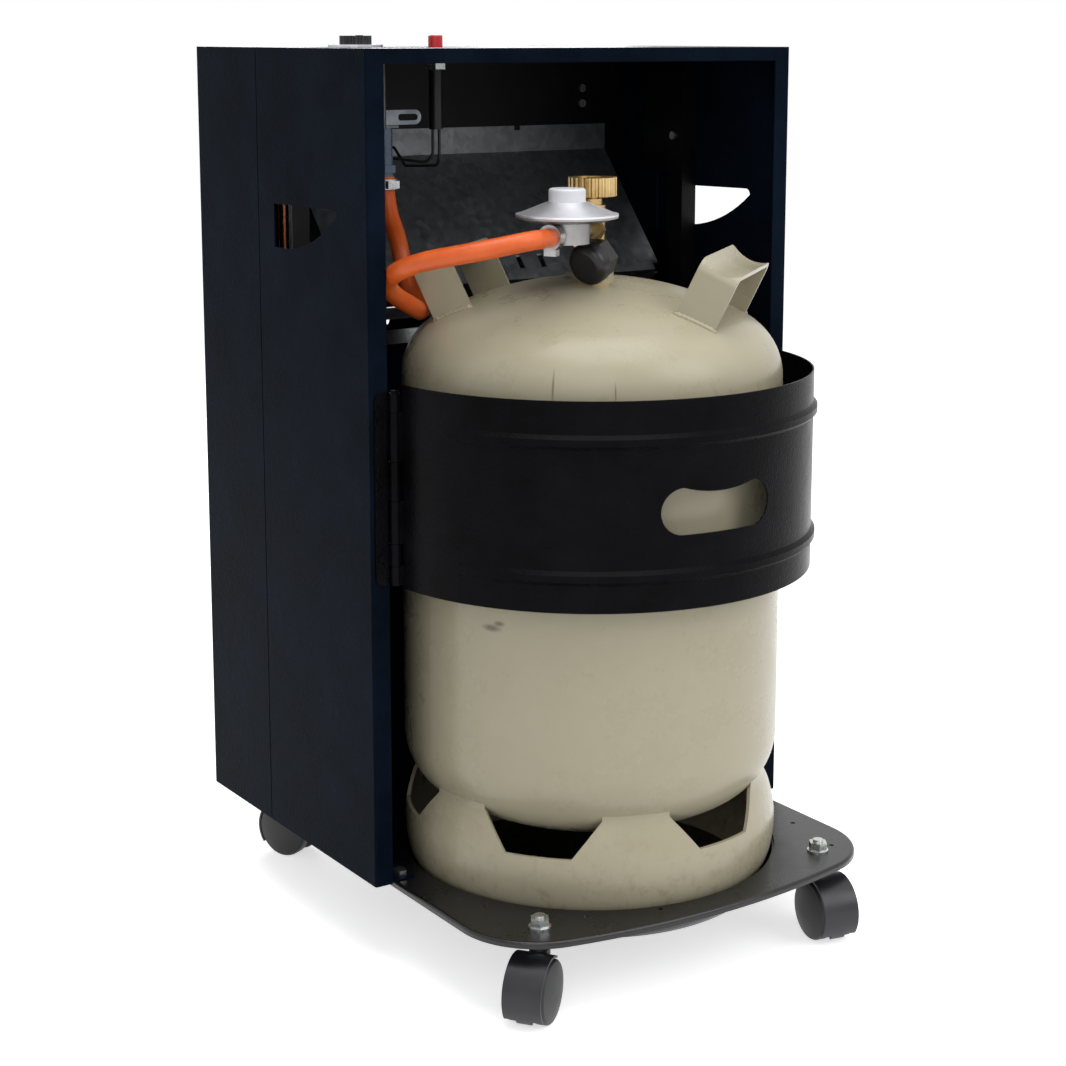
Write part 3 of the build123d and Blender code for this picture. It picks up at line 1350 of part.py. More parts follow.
with BuildPart() as casing_bolts:
    with BuildSketch(Plane.XY.offset(bolt_head_z)):
        with Locations(*bolt_spots):
            RegularPolygon(radius=bolt_across / 2, side_count=6, major_radius=False)
    extrude(amount=bolt_head_height)
    with Locations(*[(x, y, (bolt_head_z + plate_low_z - bolt_nut_height) / 2) for x, y in bolt_spots]):
        Cylinder(radius=bolt_radius, height=bolt_head_z - plate_low_z + bolt_nut_height)
    with BuildSketch(Plane.XY.offset(plate_low_z - bolt_nut_height)):
        with Locations(*bolt_spots):
            RegularPolygon(radius=bolt_across / 2, side_count=6, major_radius=False)
    extrude(amount=bolt_nut_height)
save(casing_bolts.part, "casing_bolts")

# =================================================================== castors
tyre_radius = 24.0
swivel_offset = 15.0
shroud_outer = 26.4
shroud_inner = 24.7
shroud_half_width = 15.0
shroud_angles = (-36.0, 118.0)
web_angles = (-47.0, 150.0)
web_half_width = 6.0
web_radius = 15.0
wheel_inner_face = 6.3
wheel_outer_face = 16.4
wheel_dome_face = 19.0
wheel_shoulder = 3.0
axle_radius = 3.0
axle_half_length = 16.0
boss_radius = 8.0
boss_low_z = 40.0
boss_top_z = 50.5
stem_radius_low = 4.5
stem_low_z = 41.0
washer_radius = 8.5
castor_nut_across = 13.0
castor_nut_height = 6.5
castor_washer = 1.5

with BuildPart() as castor_stems:
    with Locations(*[(x, y, (stem_low_z + plate_low_z) / 2) for x, y in castor_spots]):
        Cylinder(radius=stem_radius_low, height=plate_low_z - stem_low_z)
    with Locations(*[(x, y, plate_low_z - 1.5) for x, y in castor_spots]):
        Cylinder(radius=9, height=3)
    stem_end_z = plate_top_z + castor_washer + castor_nut_height + 2
    with Locations(*[(x, y, (plate_low_z + stem_end_z) / 2) for x, y in castor_spots]):
        Cylinder(radius=stem_thread_radius, height=stem_end_z - plate_low_z)
save(castor_stems.part, "castor_stems")

with BuildPart() as castor_nuts:
    with BuildSketch(Plane.XY.offset(plate_top_z)):
        with Locations(*castor_spots):
            Circle(washer_radius)
            Circle(stem_thread_radius + running_fit, mode=Mode.SUBTRACT)
    extrude(amount=castor_washer)
    with BuildSketch(Plane.XY.offset(plate_top_z + castor_washer)):
        with Locations(*castor_spots):
            RegularPolygon(radius=castor_nut_across / 2, side_count=6, major_radius=False)
            Circle(stem_thread_radius + running_fit, mode=Mode.SUBTRACT)
    extrude(amount=castor_nut_height)
save(castor_nuts.part, "castor_nuts")


def round_point(radius, angle):
    return (swivel_offset + radius * cos(radians(angle)), tyre_radius + radius * sin(radians(angle)))


def open_side(angles):
    """The side of the hood that is left open, from its last angle round to its first."""
    first, last = angles
    return [(swivel_offset, tyre_radius)] + [
        round_point(60, angle) for angle in (last, (last + 200) / 2, 200, 256, 360 + first)]


# A castor is drawn with its stem on the Z axis and its wheels trailing towards +X.

with BuildPart() as castor_hood:
    with Locations((0, 0, (boss_low_z + boss_top_z) / 2)):
        Cylinder(radius=boss_radius, height=boss_top_z - boss_low_z)
    with BuildSketch(Plane.XZ):
        with Locations((swivel_offset, tyre_radius)):
            Circle(shroud_outer)
        Polygon(*open_side(shroud_angles), align=None, mode=Mode.SUBTRACT)
    extrude(amount=shroud_half_width, both=True)
    # the middle of the hood reaches lower than the parts over the treads
    with BuildSketch(Plane.XZ):
        with Locations((swivel_offset, tyre_radius)):
            Circle(shroud_outer)
        Polygon(*open_side((web_angles[0], shroud_angles[1])), align=None, mode=Mode.SUBTRACT)
    extrude(amount=web_half_width, both=True)
    with Locations((swivel_offset, 0, tyre_radius)):
        Cylinder(radius=shroud_inner, height=3 * shroud_half_width, rotation=(90, 0, 0), mode=Mode.SUBTRACT)
    # web between the wheels
    with BuildSketch(Plane.XZ):
        with Locations((swivel_offset, tyre_radius)):
            Circle(shroud_inner + 0.4)
        Polygon(*open_side(web_angles), align=None, mode=Mode.SUBTRACT)
        with Locations((swivel_offset, tyre_radius)):
            Circle(web_radius)
    extrude(amount=web_half_width, both=True)
    with Locations((swivel_offset, 0, tyre_radius)):
        Cylinder(radius=axle_radius, height=4 * web_half_width, rotation=(90, 0, 0), mode=Mode.SUBTRACT)
    with Locations((0, 0, (stem_low_z - 0.5 + boss_top_z) / 2)):
        Cylinder(radius=stem_radius_low + running_fit, height=boss_top_z - stem_low_z + 0.5,
                 mode=Mode.SUBTRACT)

with BuildPart() as castor_axle:
    with Locations((swivel_offset, 0, tyre_radius)):
        Cylinder(radius=axle_radius, height=2 * axle_half_length, rotation=(90, 0, 0))

with BuildPart() as castor_wheels:
    with BuildSketch(Plane(origin=(swivel_offset, 0, tyre_radius), x_dir=(1, 0, 0), z_dir=(0, 0, 1))):
        with BuildLine():
            Polyline((0, wheel_dome_face), (0, axle_half_length + 0.3),
                     (axle_radius + running_fit, axle_half_length + 0.3),
                     (axle_radius + running_fit, wheel_inner_face),
                     (tyre_radius - 1, wheel_inner_face),
                     (tyre_radius, wheel_inner_face + 1),
                     (tyre_radius, wheel_outer_face - wheel_shoulder))
            ThreePointArc((tyre_radius, wheel_outer_face - wheel_shoulder),
                          (tyre_radius - 0.9, wheel_outer_face - 0.9),
                          (tyre_radius - wheel_shoulder, wheel_outer_face))
            ThreePointArc((tyre_radius - wheel_shoulder, wheel_outer_face),
                          (tyre_radius / 2, wheel_dome_face - 0.7), (2, wheel_dome_face))
            Line((2, wheel_dome_face), (0, wheel_dome_face))
        make_face()
    revolve(axis=Axis(origin=(swivel_offset, 0, tyre_radius), direction=(0, 1, 0)))
    mirror(about=Plane.XZ)

castor_turns = (
    ("rear_right", castor_spots[0], 36.9),
    ("rear_left", castor_spots[1], 78.5),
    ("front_right", castor_spots[2], -66.0),
    ("front_left", castor_spots[3], -128.0),
)
for place, spot, turn in castor_turns:
    stand = Pos(spot[0], spot[1], 0) * Rot(0, 0, turn)
    save(stand * castor_hood.part, "castor_hood_" + place)
    save(stand * castor_axle.part, "castor_axle_" + place)
    save(stand * castor_wheels.part, "castor_wheels_" + place)

# =================================================================== small fasteners
rivet_radius = 3.0

with BuildPart() as hinge_rivets:
    with Locations(*[(rivet_x, rear_y + leaf_sheet, height) for height in rivet_heights]):
        Cylinder(radius=rivet_radius, height=1.4, rotation=(90, 0, 0),
                 align=(Align.CENTER, Align.CENTER, Align.MAX))
save(hinge_rivets.part, "hinge_rivets")

with BuildPart() as body_screws:
    for side in (1, -1):
        for height in rail_screw_heights:
            with Locations((side * (rail_face_x - screw_head_height / 2), rear_y - rail_screw_back, height)):
                Cylinder(radius=screw_head, height=screw_head_height, rotation=(0, 90, 0))
            with Locations((side * (rail_face_x + 2), rear_y - rail_screw_back, height)):
                Cylinder(radius=screw_shank, height=4, rotation=(0, 90, 0))
    for height in panel_screw_heights:
        with Locations((panel_screw_x, rear_y - panel_inset + screw_head_height / 2, height)):
            Cylinder(radius=screw_head, height=screw_head_height, rotation=(90, 0, 0))
        with Locations((panel_screw_x, rear_y - panel_inset - 2, height)):
            Cylinder(radius=screw_shank, height=4, rotation=(90, 0, 0))
save(body_screws.part, "body_screws")
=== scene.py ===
import math

import bmesh
import bpy
from mathutils import Matrix, Vector
from mathutils.bvhtree import BVHTree


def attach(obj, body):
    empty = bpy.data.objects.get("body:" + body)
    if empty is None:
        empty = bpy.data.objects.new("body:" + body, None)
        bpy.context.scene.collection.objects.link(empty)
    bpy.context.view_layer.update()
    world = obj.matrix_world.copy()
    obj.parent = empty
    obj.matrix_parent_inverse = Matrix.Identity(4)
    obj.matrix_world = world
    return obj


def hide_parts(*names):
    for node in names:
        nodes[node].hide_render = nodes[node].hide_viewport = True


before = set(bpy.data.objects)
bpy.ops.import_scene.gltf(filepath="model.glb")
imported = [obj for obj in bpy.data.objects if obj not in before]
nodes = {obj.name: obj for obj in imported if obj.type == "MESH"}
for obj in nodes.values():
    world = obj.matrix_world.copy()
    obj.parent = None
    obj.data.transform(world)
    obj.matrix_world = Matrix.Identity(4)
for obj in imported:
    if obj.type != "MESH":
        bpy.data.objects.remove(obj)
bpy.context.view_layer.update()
scene = bpy.context.scene
print("frame loaded,", len(nodes), "nodes")

# places that the pieces share, in metres, as the frame has them
rearY = 0.05915  # the cabinet's rear plane
bottleY = rearY + 0.002
bottleRadius = 0.150
plateTop = 0.066


def hexColor(code):
    # sRGB hex to the linear colour that the nodes want
    values = [int(code[i:i + 2], 16) / 255 for i in (1, 3, 5)]
    linear = [v / 12.92 if v <= 0.04045 else ((v + 0.055) / 1.055) ** 2.4 for v in values]
    return (*linear, 1.0)


def perMetre(millimetres):
    # noise and Voronoi scale for a pattern of this size
    return 1000.0 / millimetres


def addNode(material, kind, settings=None, links=None):
    # settings are the node's properties or input values, links go from input to output socket
    newNode = material.node_tree.nodes.new(kind)
    for name, value in (settings or {}).items():
        if isinstance(name, str) and hasattr(newNode, name):
            setattr(newNode, name, value)
        else:
            newNode.inputs[name].default_value = value
    for name, source in (links or {}).items():
        material.node_tree.links.new(source, newNode.inputs[name])
    return newNode


def startMaterial(name):
    material = bpy.data.materials.new(name)
    material.use_nodes = True
    material.node_tree.nodes.clear()
    return material


def closeMaterial(material, shader):
    addNode(material, "ShaderNodeOutputMaterial", {}, {"Surface": shader.outputs[0]})
    return material


# polyester powder, sprayed on sheet steel and baked
cabinetPaint = {"base": "#070d16", "lift": "#0d1622", "peel": 1.9, "wave": 12.0, "smudge": 70.0,
                "roughLow": 0.19, "roughHigh": 0.3, "bump": 0.75, "specular": 0.008}
bandPaint = {"base": "#060607", "lift": "#0e0e12", "peel": 1.7, "wave": 9.0, "smudge": 45.0,
             "roughLow": 0.2, "roughHigh": 0.3, "bump": 1.0, "specular": 0.035}
innerPaint = {"base": "#050505", "lift": "#0b0b0c", "peel": 2.0, "wave": 14.0, "smudge": 60.0,
              "roughLow": 0.38, "roughHigh": 0.5, "bump": 0.25, "specular": 0.12}


def makePowderCoat(name, paint):
    # Black polyester powder: deep and glossy, but its orange peel breaks every reflection
    # into flecks, and a faint dry film makes the gloss uneven from place to place.
    material = startMaterial(name)
    coords = addNode(material, "ShaderNodeTexCoord").outputs["Object"]
    peel = addNode(material, "ShaderNodeTexNoise",
                   {"Scale": perMetre(paint["peel"]), "Detail": 2.0, "Roughness": 0.5}, {"Vector": coords})
    wave = addNode(material, "ShaderNodeTexNoise",
                   {"Scale": perMetre(paint["wave"]), "Detail": 1.0, "Roughness": 0.5}, {"Vector": coords})
    film = addNode(material, "ShaderNodeTexNoise",
                   {"Scale": perMetre(paint["smudge"]), "Detail": 4.0, "Roughness": 0.6},
                   {"Vector": coords})
    filmMask = addNode(material, "ShaderNodeMapRange", {1: 0.35, 2: 0.7}, {0: film.outputs[0]})
    tone = addNode(material, "ShaderNodeMix",
                   {"data_type": "RGBA", 6: hexColor(paint["base"]), 7: hexColor(paint["lift"])},
                   {0: filmMask.outputs[0]})
    gloss = addNode(material, "ShaderNodeMapRange", {3: paint["roughLow"], 4: paint["roughHigh"]},
                    {0: filmMask.outputs[0]})
    height = addNode(material, "ShaderNodeMath", {"operation": "MULTIPLY_ADD", 1: 0.35},
                     {0: wave.outputs[0], 2: peel.outputs[0]})
    bump = addNode(material, "ShaderNodeBump", {"Strength": paint["bump"], "Distance": 0.0003},
                   {"Height": height.outputs[0]})
    shader = addNode(material, "ShaderNodeBsdfPrincipled",
                     {"Specular IOR Level": paint["specular"]},
                     {"Base Color": tone.outputs[2], "Roughness": gloss.outputs[0],
                      "Normal": bump.outputs[0]})
    return closeMaterial(material, shader)


cabinetCoat = makePowderCoat("powderCoatCabinet", cabinetPaint)
bandCoat = makePowderCoat("powderCoatBand", bandPaint)
innerCoat = makePowderCoat("powderCoatInner", innerPaint)

# enamel of the bottle, and the marks of its use
bottlePaint = {"paint": "#9f9881", "pale": "#a59e88", "worn": "#857b64", "dirt": "#544c3d",
               "rust": "#6d4a2c", "roughLow": 0.22, "roughHigh": 0.36}
bottleMarks = [
    # height, angle round the bottle, half width, half height, in metres and degrees
    (0.463, 44.0, 0.0007, 0.0095),
    (0.459, 61.5, 0.0005, 0.0060),
    (0.279, 25.5, 0.0060, 0.0022),
    (0.283, 28.0, 0.0035, 0.0016),
]
grimeReach = {"top": 0.075, "full": 0.004}  # above the base plate, in metres
markDepth = 0.02  # how far in and out of the radius a mark still reaches the curved shell


def makeBottleEnamel(name, grime):
    # Sprayed alkyd enamel on a deep-drawn steel bottle: satin with a clear sheen, slightly
    # uneven in tone, chipped to a darker undercoat in specks, and dusty where it meets the pan.
    material = startMaterial(name)
    coords = addNode(material, "ShaderNodeTexCoord").outputs["Object"]
    cloud = addNode(material, "ShaderNodeTexNoise",
                    {"Scale": perMetre(60.0), "Detail": 9.0, "Roughness": 0.66}, {"Vector": coords})
    cloudMask = addNode(material, "ShaderNodeMapRange",
                        {"interpolation_type": "SMOOTHSTEP", 1: 0.2, 2: 0.8}, {0: cloud.outputs[0]})
    tone = addNode(material, "ShaderNodeMix",
                   {"data_type": "RGBA",
                    6: hexColor(bottlePaint["paint"]), 7: hexColor(bottlePaint["pale"])},
                   {0: cloudMask.outputs[0]})
    chips = addNode(material, "ShaderNodeTexNoise",
                    {"Scale": perMetre(6.0), "Detail": 6.0, "Roughness": 0.78}, {"Vector": coords})
    chipMask = addNode(material, "ShaderNodeMapRange", {1: 0.7, 2: 0.78, 3: 0.0, 4: 0.5},
                       {0: chips.outputs[0]})
    chipped = addNode(material, "ShaderNodeMix",
                      {"data_type": "RGBA", 7: hexColor(bottlePaint["worn"])},
                      {0: chipMask.outputs[0], 6: tone.outputs[2]})
    # the few knocks that show on the shoulder and the side
    knocks = chipped
    for height, angle, halfWidth, halfHeight in bottleMarks:
        turn = math.radians(angle)
        centre = (math.cos(turn) * bottleRadius, bottleY + math.sin(turn) * bottleRadius, height)
        # the mark's own space: radial, round the bottle and up, each over its half size
        local = addNode(material, "ShaderNodeMapping",
                        {"vector_type": "TEXTURE", "Location": centre, "Rotation": (0.0, 0.0, turn),
                         "Scale": (markDepth, halfWidth, halfHeight)}, {0: coords})
        reachOut = addNode(material, "ShaderNodeVectorMath",
                           {"operation": "LENGTH"}, {0: local.outputs[0]})
        mask = addNode(material, "ShaderNodeMapRange", {1: 1.6, 2: 0.5, 3: 0.0, 4: 0.75},
                       {0: reachOut.outputs["Value"]})
        knocks = addNode(material, "ShaderNodeMix",
                         {"data_type": "RGBA", 7: hexColor(bottlePaint["dirt"])},
                         {0: mask.outputs[0], 6: knocks.outputs[2]})
    # grit and a little rust gather low down
    parts = addNode(material, "ShaderNodeSeparateXYZ", {}, {0: coords})
    low = addNode(material, "ShaderNodeMapRange",
                  {1: plateTop + grimeReach["top"], 2: plateTop + grimeReach["full"], 3: 0.0, 4: grime},
                  {0: parts.outputs[2]})
    grit = addNode(material, "ShaderNodeTexNoise",
                   {"Scale": perMetre(11.0), "Detail": 6.0, "Roughness": 0.75}, {"Vector": coords})
    gritMask = addNode(material, "ShaderNodeMapRange", {1: 0.52, 2: 0.66}, {0: grit.outputs[0]})
    grimeMask = addNode(material, "ShaderNodeMath", {"operation": "MULTIPLY"},
                        {0: low.outputs[0], 1: gritMask.outputs[0]})
    dirty = addNode(material, "ShaderNodeMix",
                    {"data_type": "RGBA", 7: hexColor(bottlePaint["rust"])},
                    {0: grimeMask.outputs[0], 6: knocks.outputs[2]})
    gloss = addNode(material, "ShaderNodeMapRange",
                    {3: bottlePaint["roughLow"], 4: bottlePaint["roughHigh"]}, {0: cloudMask.outputs[0]})
    # runs and dust nibs of the spray, about 4 mm apart
    nibs = addNode(material, "ShaderNodeTexNoise",
                   {"Scale": perMetre(4.0), "Detail": 2.0, "Roughness": 0.5}, {"Vector": coords})
    bump = addNode(material, "ShaderNodeBump", {"Strength": 0.16, "Distance": 0.0003},
                   {"Height": nibs.outputs[0]})
    shader = addNode(material, "ShaderNodeBsdfPrincipled", {"Specular IOR Level": 0.32},
                     {"Base Color": dirty.outputs[2], "Roughness": gloss.outputs[0],
                      "Normal": bump.outputs[0]})
    return closeMaterial(material, shader)


bottleEnamel = makeBottleEnamel("satinEnamelBottle", 0.15)
ringEnamel = makeBottleEnamel("satinEnamelFootRing", 0.3)

# The metals: tone and paler tone, roughness, grain in millimetres, bump and stretch of the grain.
# Zinc plated steel, electroplated and blue passivated: pale grey with small soft glints.
zincFinish = {"tone": "#a9acac", "pale": "#c9cbc9", "rough": 0.3,
              "grain": 1.2, "bump": 0.12, "stretch": (1, 1, 1)}
# Aluminised steel sheet, hot dipped: dull silver with a faint mottle.
burnerFinish = {"tone": "#8f9193", "pale": "#a9abac", "rough": 0.4,
                "grain": 2.0, "bump": 0.1, "stretch": (1, 1, 1)}
# Anodised aluminium reflector, rolled bright: nearly a mirror, with fine upright rolling lines.
mirrorFinish = {"tone": "#c9cbcd", "pale": "#dcdedf", "rough": 0.14,
                "grain": 6.0, "bump": 0.03, "stretch": (1, 1, 6)}
# Steel wire, drawn and chromed: hard bright lines along each wire.
wireFinish = {"tone": "#c4c6c8", "pale": "#d8dadb", "rough": 0.12,
              "grain": 4.0, "bump": 0.02, "stretch": (1, 1, 1)}
# Drawn copper tube, dulled by handling: warm brown with soft streaks.
copperFinish = {"tone": "#b5724a", "pale": "#c98a62", "rough": 0.3,
                "grain": 1.5, "bump": 0.08, "stretch": (1, 1, 1)}
# Free-cutting brass, turned and milled: dull gold whose flats and flutes each catch the light.
brassFinish = {"tone": "#ab8d58", "pale": "#d3ba88", "rough": 0.34,
               "grain": 0.9, "bump": 0.16, "stretch": (1, 1, 5)}
# Zinc alloy, die cast and left as it came: grey with a fine sandy skin.
castFinish = {"tone": "#8d8a8a", "pale": "#a5a2a2", "rough": 0.42,
              "grain": 1.1, "bump": 0.3, "stretch": (1, 1, 1)}
# The same alloy, tumbled: a pale satin silver.
coverFinish = {"tone": "#d2d2d7", "pale": "#e2e2e6", "rough": 0.44,
               "grain": 1.1, "bump": 0.12, "stretch": (1, 1, 1)}
# The same alloy, darkened by heat: a soft charcoal that hardly shines.
valveFinish = {"tone": "#4c4e50", "pale": "#606264", "rough": 0.45,
               "grain": 1.1, "bump": 0.3, "stretch": (1, 1, 1)}
# Cold rolled steel, pressed and left bare: mid grey, with a dry sheen.
bracketFinish = {"tone": "#54585d", "pale": "#6e7479", "rough": 0.42,
                 "grain": 1.4, "bump": 0.12, "stretch": (1, 1, 1)}


def makeMetal(name, finish):
    # A metal keeps its colour in its reflections. Broad clouds of tone are handling and
    # oxide, the fine grain is the plating, casting skin or turning marks.
    material = startMaterial(name)
    coords = addNode(material, "ShaderNodeTexCoord").outputs["Object"]
    pulled = addNode(material, "ShaderNodeMapping", {"Scale": finish["stretch"]}, {0: coords})
    grain = addNode(material, "ShaderNodeTexNoise",
                    {"Scale": perMetre(finish["grain"]), "Detail": 4.0, "Roughness": 0.6},
                    {"Vector": pulled.outputs[0]})
    cloud = addNode(material, "ShaderNodeTexNoise",
                    {"Scale": perMetre(22.0), "Detail": 3.0, "Roughness": 0.55}, {"Vector": coords})
    cloudMask = addNode(material, "ShaderNodeMapRange", {1: 0.35, 2: 0.68}, {0: cloud.outputs[0]})
    tone = addNode(material, "ShaderNodeMix",
                   {"data_type": "RGBA", 6: hexColor(finish["tone"]), 7: hexColor(finish["pale"])},
                   {0: cloudMask.outputs[0]})
    gloss = addNode(material, "ShaderNodeMapRange",
                    {1: 0.3, 2: 0.7, 3: finish["rough"] * 0.75, 4: finish["rough"] * 1.3},
                    {0: grain.outputs[0]})
    bump = addNode(material, "ShaderNodeBump", {"Strength": finish["bump"], "Distance": 0.0002},
                   {"Height": grain.outputs[0]})
    shader = addNode(material, "ShaderNodeBsdfPrincipled", {"Metallic": 1.0},
                     {"Base Color": tone.outputs[2], "Roughness": gloss.outputs[0],
                      "Normal": bump.outputs[0]})
    return closeMaterial(material, shader)


zincPlate = makeMetal("zincPlatedSteel", zincFinish)
burnerSteel = makeMetal("aluminisedSteel", burnerFinish)
mirrorSheet = makeMetal("polishedReflector", mirrorFinish)
wireChrome = makeMetal("chromedWire", wireFinish)
drawnCopper = makeMetal("drawnCopperLine", copperFinish)
machinedBrass = makeMetal("machinedBrass", brassFinish)
castAlloy = makeMetal("dieCastAlloy", castFinish)
coverAlloy = makeMetal("burnishedCastCover", coverFinish)
valveAlloy = makeMetal("dieCastValve", valveFinish)
bracketSteel = makeMetal("bareSteelBracket", bracketFinish)


sheetFinish = {"tone": "#5a5c5f", "pale": "#686b6e", "rough": 0.38, "grain": 6.0, "metal": 0.8}


def makeGalvanisedSheet(name, finish):
    # Hot-dip galvanised sheet with a dull oxide film over part of the metal: flat grey, and
    # the zinc's crystals, about 6 mm across, each catch the light a little differently.
    material = startMaterial(name)
    coords = addNode(material, "ShaderNodeTexCoord").outputs["Object"]
    flakes = addNode(material, "ShaderNodeTexVoronoi",
                     {"Scale": perMetre(finish["grain"]), "Randomness": 1.0}, {"Vector": coords})
    flakeTone = addNode(material, "ShaderNodeSeparateXYZ", {}, {0: flakes.outputs["Color"]})
    tone = addNode(material, "ShaderNodeMix",
                   {"data_type": "RGBA", 6: hexColor(finish["tone"]), 7: hexColor(finish["pale"])},
                   {0: flakeTone.outputs[0]})
    gloss = addNode(material, "ShaderNodeMapRange",
                    {3: finish["rough"] * 0.85, 4: finish["rough"] * 1.2}, {0: flakeTone.outputs[1]})
    shader = addNode(material, "ShaderNodeBsdfPrincipled", {"Metallic": finish["metal"]},
                     {"Base Color": tone.outputs[2], "Roughness": gloss.outputs[0]})
    return closeMaterial(material, shader)


galvanised = makeGalvanisedSheet("galvanisedSheet", sheetFinish)

# The plastics, rubbers and thick paints: base and lighter colour, roughness, grain in
# millimetres, bump and specular level.
# ABS, moulded with a spark-eroded grain: soft black with a dull shine.
knobFinish = {"base": "#0c0c0d", "lift": "#161617", "rough": 0.35,
              "grain": 0.8, "bump": 0.15, "specular": 0.4}
# Polystyrene, moulded in a polished tool: a clear red with a sharp shine.
buttonFinish = {"base": "#b3121a", "lift": "#c41d24", "rough": 0.22,
                "grain": 2.0, "bump": 0.03, "specular": 0.5}
# Glass-filled nylon, moulded: black, slightly dusty from its fibres.
igniterFinish = {"base": "#0c0c0d", "lift": "#151515", "rough": 0.4,
                 "grain": 1.0, "bump": 0.15, "specular": 0.3}
# Nylon, moulded: black with a waxy edge shine.
nylonFinish = {"base": "#0b0b0c", "lift": "#151517", "rough": 0.34,
               "grain": 1.3, "bump": 0.25, "specular": 0.4}
# Nylon, moulded in pale grey: nearly white where the light falls on it.
greyFinish = {"base": "#c4c5ca", "lift": "#d4d5d9", "rough": 0.42,
              "grain": 1.0, "bump": 0.15, "specular": 0.4}
# Silicone rubber, extruded: matt black.
leadFinish = {"base": "#0e0e0e", "lift": "#171717", "rough": 0.5,
              "grain": 1.0, "bump": 0.1, "specular": 0.3}
# Nylon of the castor hoods, moulded: dark grey that lightens on its crown.
hoodFinish = {"base": "#17171b", "lift": "#202025", "rough": 0.4,
              "grain": 1.5, "bump": 0.2, "specular": 0.45}
# Thermoplastic rubber of the tyres, moulded: a shade duller than the hoods.
tyreFinish = {"base": "#151517", "lift": "#1f1f22", "rough": 0.46,
              "grain": 1.6, "bump": 0.2, "specular": 0.4}
# Blue lacquer, dipped on steel pipe: a thin grey-blue gloss.
pipeFinish = {"base": "#3a4a5e", "lift": "#54687f", "rough": 0.3,
              "grain": 2.0, "bump": 0.05, "specular": 0.5}
# Textured powder coat on the base plate: black, with a pebbled shine at low angles.
plateFinish = {"base": "#09090a", "lift": "#121315", "rough": 0.3,
               "grain": 1.8, "bump": 0.6, "specular": 0.45}
# Synthetic rubber hose, extruded: orange with a soft band of light along it.
hoseFinish = {"base": "#c75219", "lift": "#d66022", "rough": 0.4,
              "grain": 1.4, "bump": 0.14, "specular": 0.4}


def makeMoulded(name, finish):
    # Moulded or sprayed skin with a spark-eroded grain: soft, slightly broken highlights and
    # a touch of lighter, handled tone here and there.
    material = startMaterial(name)
    coords = addNode(material, "ShaderNodeTexCoord").outputs["Object"]
    grain = addNode(material, "ShaderNodeTexNoise",
                    {"Scale": perMetre(finish["grain"]), "Detail": 3.0, "Roughness": 0.6},
                    {"Vector": coords})
    handled = addNode(material, "ShaderNodeTexNoise",
                      {"Scale": perMetre(28.0), "Detail": 4.0, "Roughness": 0.6}, {"Vector": coords})
    handledMask = addNode(material, "ShaderNodeMapRange", {1: 0.35, 2: 0.7}, {0: handled.outputs[0]})
    tone = addNode(material, "ShaderNodeMix",
                   {"data_type": "RGBA", 6: hexColor(finish["base"]), 7: hexColor(finish["lift"])},
                   {0: handledMask.outputs[0]})
    gloss = addNode(material, "ShaderNodeMapRange",
                    {3: finish["rough"] * 0.85, 4: finish["rough"] * 1.15}, {0: handledMask.outputs[0]})
    bump = addNode(material, "ShaderNodeBump", {"Strength": finish["bump"], "Distance": 0.0002},
                   {"Height": grain.outputs[0]})
    shader = addNode(material, "ShaderNodeBsdfPrincipled", {"Specular IOR Level": finish["specular"]},
                     {"Base Color": tone.outputs[2], "Roughness": gloss.outputs[0],
                      "Normal": bump.outputs[0]})
    return closeMaterial(material, shader)


knobPlastic = makeMoulded("absKnob", knobFinish)
redPlastic = makeMoulded("redButtonPlastic", buttonFinish)
igniterPlastic = makeMoulded("igniterNylon", igniterFinish)
capPlastic = makeMoulded("blankingCapNylon", nylonFinish)
greyPlastic = makeMoulded("regulatorCapPlastic", greyFinish)
leadRubber = makeMoulded("siliconeLead", leadFinish)
castorNylon = makeMoulded("castorNylon", hoodFinish)
tyreRubber = makeMoulded("castorTyre", tyreFinish)
pipeLacquer = makeMoulded("bluePipeLacquer", pipeFinish)
plateCoat = makeMoulded("texturedPlateCoat", plateFinish)
hoseRubber = makeMoulded("orangeHoseRubber", hoseFinish)

# the dark brown colour of the flame holes is painted shade inside them
plaque = {"clay": "#d8cbb4", "hole": "#3b332a", "pitch": 2.5, "rough": 0.85, "specular": 0.2}


def makeCordierite(name):
    # Pressed cordierite: cream and chalk-matt, pierced by a close grid of flame holes
    # 1.3 mm across on a 2.5 mm pitch; the holes are filled with a dark brown painted shade.
    material = startMaterial(name)
    coords = addNode(material, "ShaderNodeTexCoord").outputs["Object"]
    upright = addNode(material, "ShaderNodeMapping",
                      {"Rotation": (math.radians(90), 0, 0)}, {0: coords})
    holes = addNode(material, "ShaderNodeTexVoronoi",
                    {"voronoi_dimensions": "2D", "Scale": perMetre(plaque["pitch"]), "Randomness": 0.0},
                    {0: upright.outputs[0]})
    clay = addNode(material, "ShaderNodeMapRange", {1: 0.24, 2: 0.32}, {0: holes.outputs[0]})
    tone = addNode(material, "ShaderNodeMix",
                   # dark brown painted shade in the holes, the cream clay around them
                   {"data_type": "RGBA", 6: hexColor(plaque["hole"]), 7: hexColor(plaque["clay"])},
                   {0: clay.outputs[0]})
    bump = addNode(material, "ShaderNodeBump", {"Strength": 0.6, "Distance": 0.0006},
                   {"Height": clay.outputs[0]})
    shader = addNode(material, "ShaderNodeBsdfPrincipled",
                     {"Roughness": plaque["rough"], "Specular IOR Level": plaque["specular"]},
                     {"Base Color": tone.outputs[2], "Normal": bump.outputs[0]})
    return closeMaterial(material, shader)


plaqueCeramic = makeCordierite("cordieritePlaque")

